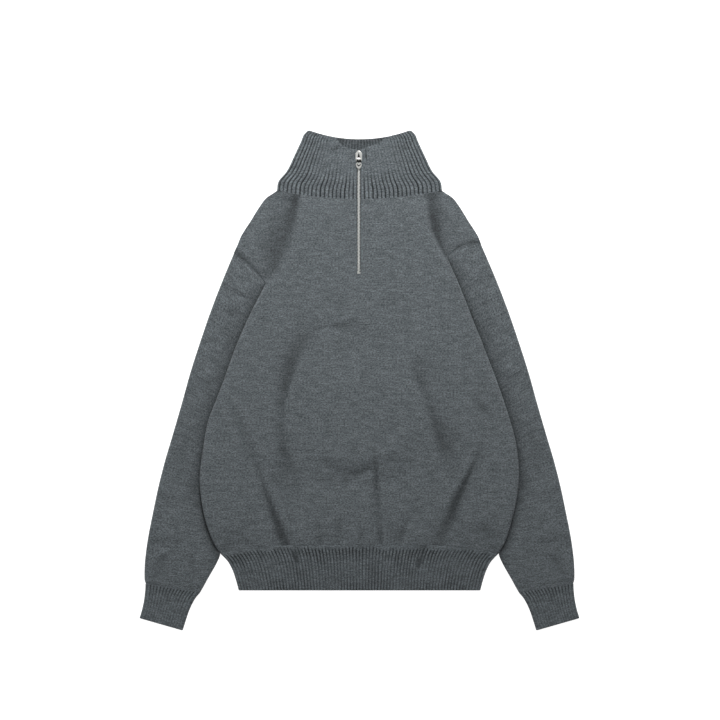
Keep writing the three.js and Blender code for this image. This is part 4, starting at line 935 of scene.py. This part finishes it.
def linked_seam(name, lines, wool_of):
    """Rows of loops along lines of points, each with the side that it shows on: 1 above, -1 underneath."""
    bpy.ops.object.select_all(action="DESELECT")
    bpy.ops.mesh.primitive_uv_sphere_add(segments=8, ring_count=5, radius=0.5)
    loop = bpy.context.object
    loop.data.transform(Matrix.Diagonal((LOOP["length"] * MM, LOOP["width"] * MM, LOOP["thick"] * MM, 1)))
    bpy.ops.object.shade_smooth()
    loop.data.materials.append(wool_of)
    places = []
    for points, side in lines:
        points = np.array(points, float)
        gone = np.concatenate([[0], np.cumsum(np.linalg.norm(np.diff(points, axis=0), axis=1))])
        stops = np.arange(LOOP_PITCH / 2, gone[-1], LOOP_PITCH)
        at = np.stack([np.interp(stops, gone, points[:, k]) for k in range(3)], 1)
        ahead = np.stack([np.interp(stops + 0.5, gone, points[:, k]) for k in range(3)], 1) - at
        for (x, y, z), (dx, dy, _) in zip(at, ahead):
            turn = math.atan2(dy, dx) + math.radians(LOOP_SLANT)
            place = Matrix.Translation(Vector((x, y, z - side * LOOP_SINK)) * MM)
            places.append(place @ Matrix.Rotation(turn, 4, "Z"))
    seam = copies(name, loop, places)
    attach(seam, "garment")


def on_surface(xy, z):
    return np.concatenate([xy, np.full((len(xy), 1), float(z))], 1)


neck_x = np.linspace(-NECK_HALF + SEAM_MARGIN, NECK_HALF - SEAM_MARGIN, 90)
back_neck = np.stack([neck_x, NECK_Y + BACK_NECK_RISE * (1 - (neck_x / NECK_HALF) ** 2)], 1)
neck_line = front_points[-1][FRONT_EDGE_COLUMNS + 1 : -FRONT_EDGE_COLUMNS - 1]
middle = len(neck_line) // 2
hem_x = np.linspace(-1, 1, 120) * (HEM_SIDE["half"][0] - SEAM_MARGIN)
hem_back = np.stack([hem_x, hem_seam(hem_x)], 1)
linked_seam(
    "collar_seam",
    [(neck_line[: middle - 2], 1), (neck_line[middle + 3 :], 1), (on_surface(back_neck, UNDERSIDE), -1)],
    jersey,
)
lines = [(front_points[0][3:-3], 1), (on_surface(hem_back, UNDERSIDE), -1)]
linked_seam("hem_seam_loops", lines, rib_knit)
for side in ("left", "right"):
    shown = armhole(side, np.linspace(0.02, FOLD_AT, 30))
    hidden = armhole(side, np.linspace(0.02, 0.98, 60))
    lines = [(on_surface(shown, ARMHOLE_HEIGHT), 1), (on_surface(hidden, UNDERSIDE), -1)]
    linked_seam("armhole_seam_" + side, lines, jersey)
    ends = np.array(CUFF_SEAM_ENDS) * (sign_of(side), 1)
    cuff_line = mix(ends[0], ends[1], np.linspace(0.03, 0.97, 30)[:, None])
    lines = [(on_surface(cuff_line, CUFF_HEIGHT), 1), (on_surface(cuff_line, UNDERSIDE), -1)]
    linked_seam("cuff_seam_" + side, lines, rib_knit)

# Zip tapes
# Two strips of woven tape, one under each edge of the slit, with a cord along the edge that the teeth grip.
TAPE_COLOUR = (0.058, 0.066, 0.071)
TAPE_WIDTH = 11.9
TAPE_THICK = 0.9
TAPE_TOP_Z = 4.3
TAPE_ENDS = (174, 387.5)
TAPE_GAP = 0.2
TAPE_CORD = 0.35
TAPE_COLUMNS = 13
TAPE_ROWS = 108


def woven(name, colour):
    """Tape woven in a fine herringbone."""
    material = bpy.data.materials.new(name)
    material.use_nodes = True
    nodes, links = material.node_tree.nodes, material.node_tree.links
    shader = nodes["Principled BSDF"]
    shader.inputs["Roughness"].default_value = 0.8
    shader.inputs["Specular IOR Level"].default_value = 0.25
    grain = nodes.new("ShaderNodeUVMap")
    grain.uv_map = "UVMap"
    waves = []
    for turn in (38, -38):
        mapping = nodes.new("ShaderNodeMapping")
        mapping.inputs["Rotation"].default_value = (0, 0, math.radians(turn))
        links.new(grain.outputs["UV"], mapping.inputs["Vector"])
        wave = nodes.new("ShaderNodeTexWave")
        wave.inputs["Scale"].default_value = 420
        wave.inputs["Distortion"].default_value = 0.4
        links.new(mapping.outputs["Vector"], wave.inputs["Vector"])
        waves.append(wave.outputs["Fac"])
    weave = nodes.new("ShaderNodeMath")
    weave.operation = "MAXIMUM"
    links.new(waves[0], weave.inputs[0])
    links.new(waves[1], weave.inputs[1])
    shade = nodes.new("ShaderNodeMix")
    shade.data_type = "RGBA"
    shade.inputs["A"].default_value = (*[c * 0.55 for c in colour], 1)
    shade.inputs["B"].default_value = (*[c * 1.3 for c in colour], 1)
    links.new(weave.outputs[0], shade.inputs["Factor"])
    links.new(shade.outputs["Result"], shader.inputs["Base Color"])
    bump = nodes.new("ShaderNodeBump")
    bump.inputs["Strength"].default_value = 0.5
    bump.inputs["Distance"].default_value = 0.2 * MM
    links.new(weave.outputs[0], bump.inputs["Height"])
    links.new(bump.outputs["Normal"], shader.inputs["Normal"])
    return material


tape_cloth = woven("woven_tape", TAPE_COLOUR)
for side in ("left", "right"):
    across = np.linspace(0, 1, TAPE_COLUMNS)
    if side == "left":
        across = across[::-1]
    x = ZIP_X + sign_of(side) * (TAPE_GAP + across * TAPE_WIDTH)
    y = np.linspace(*TAPE_ENDS, TAPE_ROWS)[:, None]
    z = TAPE_TOP_Z - TAPE_CORD + TAPE_CORD * np.exp(-((across - 0.09) / 0.08) ** 2)
    points = np.stack(np.broadcast_arrays(x, y, z), -1)
    tape = cloth("woven_tape_" + side, points, points[..., :2], TAPE_THICK)
    tape.data.materials.append(tape_cloth)
    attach(tape, "garment")
    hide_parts("zip_tape_" + side)

# Zip teeth
# Two rows of stamped metal teeth, clamped on the tapes' cords, each tooth between two of the other row. Their
# heads meet in the middle, where the light catches their upper edges.
METAL_COLOUR = (0.6, 0.605, 0.585)
TOOTH_PAINTED_LIGHT_COLOUR = (0.8, 0.815, 0.79)
TOOTH = {"length": 1.8, "head": 0.95, "clamp": 0.8, "width": 1.12, "height": 2.0}
TOOTH_PITCH = 2.4
TEETH_HALF = 2.75
TEETH_ENDS = (184.6, 386)
TEETH_Z = 4.6


def metal(name, colour, roughness, wear):
    """Polished nickel, a little uneven in its gloss, with fine rubbed marks."""
    material = bpy.data.materials.new(name)
    material.use_nodes = True
    nodes, links = material.node_tree.nodes, material.node_tree.links
    shader = nodes["Principled BSDF"]
    shader.inputs["Metallic"].default_value = 1
    shader.inputs["Base Color"].default_value = (*colour, 1)
    place = nodes.new("ShaderNodeTexCoord")
    rubbed = nodes.new("ShaderNodeMapping")
    rubbed.inputs["Scale"].default_value = (1, 0.22, 1)
    links.new(place.outputs["Object"], rubbed.inputs["Vector"])
    marks = nodes.new("ShaderNodeTexNoise")
    marks.inputs["Scale"].default_value = 2600
    marks.inputs["Detail"].default_value = 3
    links.new(rubbed.outputs["Vector"], marks.inputs["Vector"])
    gloss = nodes.new("ShaderNodeMapRange")
    gloss.inputs["To Min"].default_value = roughness - wear
    gloss.inputs["To Max"].default_value = roughness + wear
    links.new(marks.outputs["Fac"], gloss.inputs["Value"])
    links.new(gloss.outputs["Result"], shader.inputs["Roughness"])
    bump = nodes.new("ShaderNodeBump")
    bump.inputs["Strength"].default_value = 0.15
    bump.inputs["Distance"].default_value = 0.05 * MM
    links.new(marks.outputs["Fac"], bump.inputs["Height"])
    links.new(bump.outputs["Normal"], shader.inputs["Normal"])
    return material


nickel = metal("polished_nickel", METAL_COLOUR, 0.3, 0.1)
# A black copy of the nickel, used as painted shadow in the slider and the tab.
shadowed_nickel = metal("painted_shadow_nickel", (0.03, 0.03, 0.03), 0.5, 0.1)
# Painted highlight: a lighter, rougher copy of the nickel for the teeth, so that they shine brighter than the
# slider.
painted_highlight_nickel = metal("painted_highlight_nickel", TOOTH_PAINTED_LIGHT_COLOUR, 0.38, 0.1)


def only_selected(mesh, chosen):
    """Select the faces whose normal and middle pass a test, in edit mode when the call returns."""
    bpy.ops.object.mode_set(mode="EDIT")
    bpy.ops.mesh.select_mode(type="FACE")
    bpy.ops.mesh.select_all(action="DESELECT")
    bpy.ops.object.mode_set(mode="OBJECT")
    for face in mesh.polygons:
        face.select = chosen(face)
    bpy.ops.object.mode_set(mode="EDIT")


def rounded(piece, width, segments=1, angle=30):
    bevel = piece.modifiers.new("rounded", "BEVEL")
    bevel.width = width * MM
    bevel.segments = segments
    bevel.limit_method = "ANGLE"
    bevel.angle_limit = math.radians(angle)
    bpy.context.view_layer.objects.active = piece
    bpy.ops.object.modifier_apply(modifier="rounded")
    bpy.ops.object.shade_smooth_by_angle(angle=math.radians(35))


bpy.ops.object.select_all(action="DESELECT")
bpy.ops.mesh.primitive_cube_add(size=1)
tooth = bpy.context.object
size = (TOOTH["length"], TOOTH["width"], TOOTH["height"])
tooth.data.transform(Matrix.Diagonal((*[s * MM for s in size], 1)))
only_selected(tooth.data, lambda face: face.normal.x > 0.9)
bpy.ops.mesh.extrude_region_move(TRANSFORM_OT_translate={"value": (TOOTH["head"] * MM, 0, 0)})
bpy.ops.transform.resize(value=(1, 0.7, 0.72))
bpy.ops.object.mode_set(mode="OBJECT")
only_selected(tooth.data, lambda face: face.normal.x < -0.9)
bpy.ops.mesh.extrude_region_move(TRANSFORM_OT_translate={"value": (-TOOTH["clamp"] * MM, 0, 0)})
bpy.ops.transform.resize(value=(1, 0.85, 0.5))
bpy.ops.object.mode_set(mode="OBJECT")
rounded(tooth, 0.16)
tooth.data.materials.append(painted_highlight_nickel)
places = []
for row, turn in ((-1, 0), (1, math.pi)):
    start = TEETH_ENDS[0] + TOOTH_PITCH * (0.3 if row < 0 else 0.8)
    for y in np.arange(start, TEETH_ENDS[1] - 0.5, TOOTH_PITCH):
        x = ZIP_X + row * (TEETH_HALF - TOOTH["clamp"] - TOOTH["length"] / 2)
        place = Matrix.Translation(Vector((x, y, TEETH_Z + TOOTH["height"] / 2)) * MM)
        places.append(place @ Matrix.Rotation(turn, 4, "Z"))
teeth = copies("zip_teeth", tooth, places)
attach(teeth, "garment")
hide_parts("zip_chain")

# Zip stop
# A strip of the same metal, bent over both tapes below the last teeth and pressed tight on them.
STOP = {"width": 5.5, "length": 3, "low": 4.6, "high": 7, "middle_y": 182.8}

bpy.ops.object.select_all(action="DESELECT")
bpy.ops.mesh.primitive_cube_add(size=1)
stop = bpy.context.object
stop.name = "zip_end_stop"
size = Matrix.Diagonal((STOP["width"] * MM, STOP["length"] * MM, (STOP["high"] - STOP["low"]) * MM, 1))
middle = Vector((ZIP_X, STOP["middle_y"], (STOP["low"] + STOP["high"]) / 2)) * MM
stop.data.transform(Matrix.Translation(middle) @ size)
only_selected(stop.data, lambda face: face.normal.z > 0.9)
bpy.ops.mesh.inset(thickness=0.55 * MM)
bpy.ops.transform.translate(value=(0, 0, -0.22 * MM))
bpy.ops.object.mode_set(mode="OBJECT")
rounded(stop, 0.3, 2)
stop.data.materials.append(nickel)
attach(stop, "garment")
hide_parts("zip_stop")

# Slider
# A cast slider, plated in nickel: a plate whose sides run together towards the closed teeth, with raised
# rims round a triangular opening with painted shadow in it, side walls that hold the teeth, and an arch for
# the tab.
BAR = (ZIP_X, 373.5, 11)
PLATE_LOW = 8.1
PLATE_HIGH = 9.7
RIM_HIGH = 10.5
PLATE_EDGE = {
    "from_bar": [-1.9, 0, 6, 10.8, 13.6, 15.2, 15.8],
    "half": [4.9, 5.2, 5.4, 5.5, 4.2, 2.4, 1.2],
}
HOLLOW = [(0, 13.4), (-2.7, 3.1), (2.7, 3.1)]
MOUTH = [(-4, 1), (0, -0.7), (4, 1), (4, -3), (-4, -3)]
CORE = [(-4, -2.4), (4, -2.4), (4, 3.4), (2.1, 13), (-2.1, 13), (-4, 3.4)]
CORE_HIGH = 9.3
SIDE_WALL = [(5.2, 1), (5.75, 12.4), (4.7, 12.6), (4.1, 1)]
WALL_LOW = 6.9
WALL_HIGH = 8.5
ARCH = {"half": 4, "wall": 1.2, "high": 13.4, "clear": 12.3, "width": 2.6, "round": 1.1, "painted_shadow_from": -0.2}


def stamped(name, outline, low, high):
    """A plate of metal: a filled outline, in millimetres from the bar, raised from low to high."""
    bpy.ops.object.select_all(action="DESELECT")
    bpy.ops.mesh.primitive_circle_add(vertices=len(outline), fill_type="NGON")
    piece = bpy.context.object
    piece.name = name
    for vertex, (x, y) in zip(piece.data.vertices, outline):
        vertex.co = Vector((x, y, low)) * MM
    bpy.ops.object.mode_set(mode="EDIT")
    bpy.ops.mesh.select_all(action="SELECT")
    bpy.ops.mesh.extrude_region_move(TRANSFORM_OT_translate={"value": (0, 0, (high - low) * MM)})
    bpy.ops.mesh.select_all(action="SELECT")
    bpy.ops.mesh.normals_make_consistent(inside=False)
    bpy.ops.object.mode_set(mode="OBJECT")
    return piece


def cut_out(piece, cutter):
    cut = piece.modifiers.new("cut", "BOOLEAN")
    cut.object = cutter
    cut.operation = "DIFFERENCE"
    cut.solver = "EXACT"
    bpy.context.view_layer.objects.active = piece
    bpy.ops.object.modifier_apply(modifier="cut")
    bpy.data.objects.remove(cutter)


def joined(name, pieces):
    bpy.ops.object.select_all(action="DESELECT")
    for piece in pieces:
        piece.select_set(True)
    bpy.context.view_layer.objects.active = pieces[0]
    bpy.ops.object.join()
    bpy.context.object.name = name
    return bpy.context.object


def mirrored_outline(edge):
    right = list(zip(edge["half"], edge["from_bar"]))
    return right + [(-x, y) for x, y in reversed(right)]


rim = stamped("slider_rim", mirrored_outline(PLATE_EDGE), PLATE_LOW, RIM_HIGH)
for opening in (HOLLOW, MOUTH):
    cut_out(rim, stamped("cutter", opening, PLATE_LOW - 1, RIM_HIGH + 1))
rounded(rim, 0.28, 2, 40)
rim.data.materials.append(nickel)

# A black plate under the rim paints the shadow in the triangular opening and the mouth.
core = stamped("slider_core", CORE, WALL_LOW, CORE_HIGH)
core.data.materials.append(shadowed_nickel)

walls = []
for way in (-1, 1):
    wall = stamped("slider_wall", [(way * x, y) for x, y in SIDE_WALL], WALL_LOW, WALL_HIGH)
    rounded(wall, 0.2)
    wall.data.materials.append(nickel)
    walls.append(wall)

turned = []
for way, start in ((1, 0), (-1, 90)):
    for step in range(5):
        a = math.radians(start + 90 * step / 4)
        across = way * (ARCH["half"] - ARCH["round"]) + ARCH["round"] * math.cos(a)
        turned.append((across, ARCH["high"] - ARCH["round"] + ARCH["round"] * math.sin(a)))
inner = ARCH["half"] - ARCH["wall"]
foot = PLATE_HIGH - 1
outline = [(ARCH["half"], foot), *turned, (-ARCH["half"], foot)]
outline += [(-inner, foot), (-inner, ARCH["clear"]), (inner, ARCH["clear"]), (inner, foot)]
arch = stamped("slider_arch", outline, -ARCH["width"] / 2, ARCH["width"] / 2)
arch.data.transform(Matrix(((0, 0, 1, 0), (1, 0, 0, 0), (0, 1, 0, 0), (0, 0, 0, 1))))
rounded(arch, 0.35, 2, 40)
arch.data.materials.append(nickel)
# The arch's lower end, under the plate's edge, is painted black as shadow.
arch.data.materials.append(shadowed_nickel)
bpy.ops.object.mode_set(mode="EDIT")
bpy.ops.mesh.select_all(action="SELECT")
bpy.ops.mesh.bisect(plane_co=(0, ARCH["painted_shadow_from"] * MM, 0), plane_no=(0, 1, 0))
bpy.ops.object.mode_set(mode="OBJECT")
for face in arch.data.polygons:
    face.material_index = int(face.center.y < ARCH["painted_shadow_from"] * MM)
slider = joined("zip_slider_body", [rim, core, *walls, arch])
slider.data.transform(Matrix.Translation(Vector((BAR[0], BAR[1], 0)) * MM))
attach(slider, "garment")
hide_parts("zip_slider")

# Pull tab
# A small cast tab that hangs on the slider's arch by its eye. Its body is a rounded heart with a chevron
# groove cut in its face. The groove and the eye are painted black as shadow.
HEART = {
    "from_bar": [-14.6, -13.7, -12, -9.5, -7, -5, -3.9, -4.2],
    "half": [1, 2.5, 3.8, 4.7, 4.8, 4.3, 2.9, 1.5],
}
HEART_NOTCH = (0, -5.6)
TAB_HALF = 0.7
TAB_TILT = 8.5
LOOP_HALF = 0.6
LOOP_EDGE = {"from_bar": [-6.4, 0.7], "half": [3.3, 3.3]}
EYE = [(-1.9, -0.7), (1.9, -0.7), (1.9, -5.4), (-1.9, -5.4)]
CHEVRON = [(-3.3, -6), (0, -8.8), (3.3, -6), (3.3, -8.1), (0, -11.1), (-3.3, -8.1)]

outline = mirrored_outline(HEART)
outline.insert(len(outline) // 2, HEART_NOTCH)
tab = stamped("pull_tab_heart", outline, -TAB_HALF, TAB_HALF)
tab.data.materials.append(nickel)
cut_out(tab, stamped("cutter", CHEVRON, TAB_HALF - 0.45, 2))
rounded(tab, 0.22, 2, 40)
eye = stamped("pull_tab_eye", mirrored_outline(LOOP_EDGE), -LOOP_HALF, LOOP_HALF)
cut_out(eye, stamped("cutter", EYE, -2, 2))
rounded(eye, 0.2, 2, 40)
eye.data.materials.append(shadowed_nickel)
groove = stamped("pull_tab_groove", CHEVRON, TAB_HALF - 0.8, TAB_HALF - 0.4)
groove.data.materials.append(shadowed_nickel)
tab = joined("zip_pull_tab", [tab, eye, groove])
swung = Matrix.Rotation(math.radians(TAB_TILT), 4, "X")
tab.data.transform(Matrix.Translation(Vector(BAR) * MM) @ swung)
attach(tab, "pull_tab")
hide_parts("zip_pull")
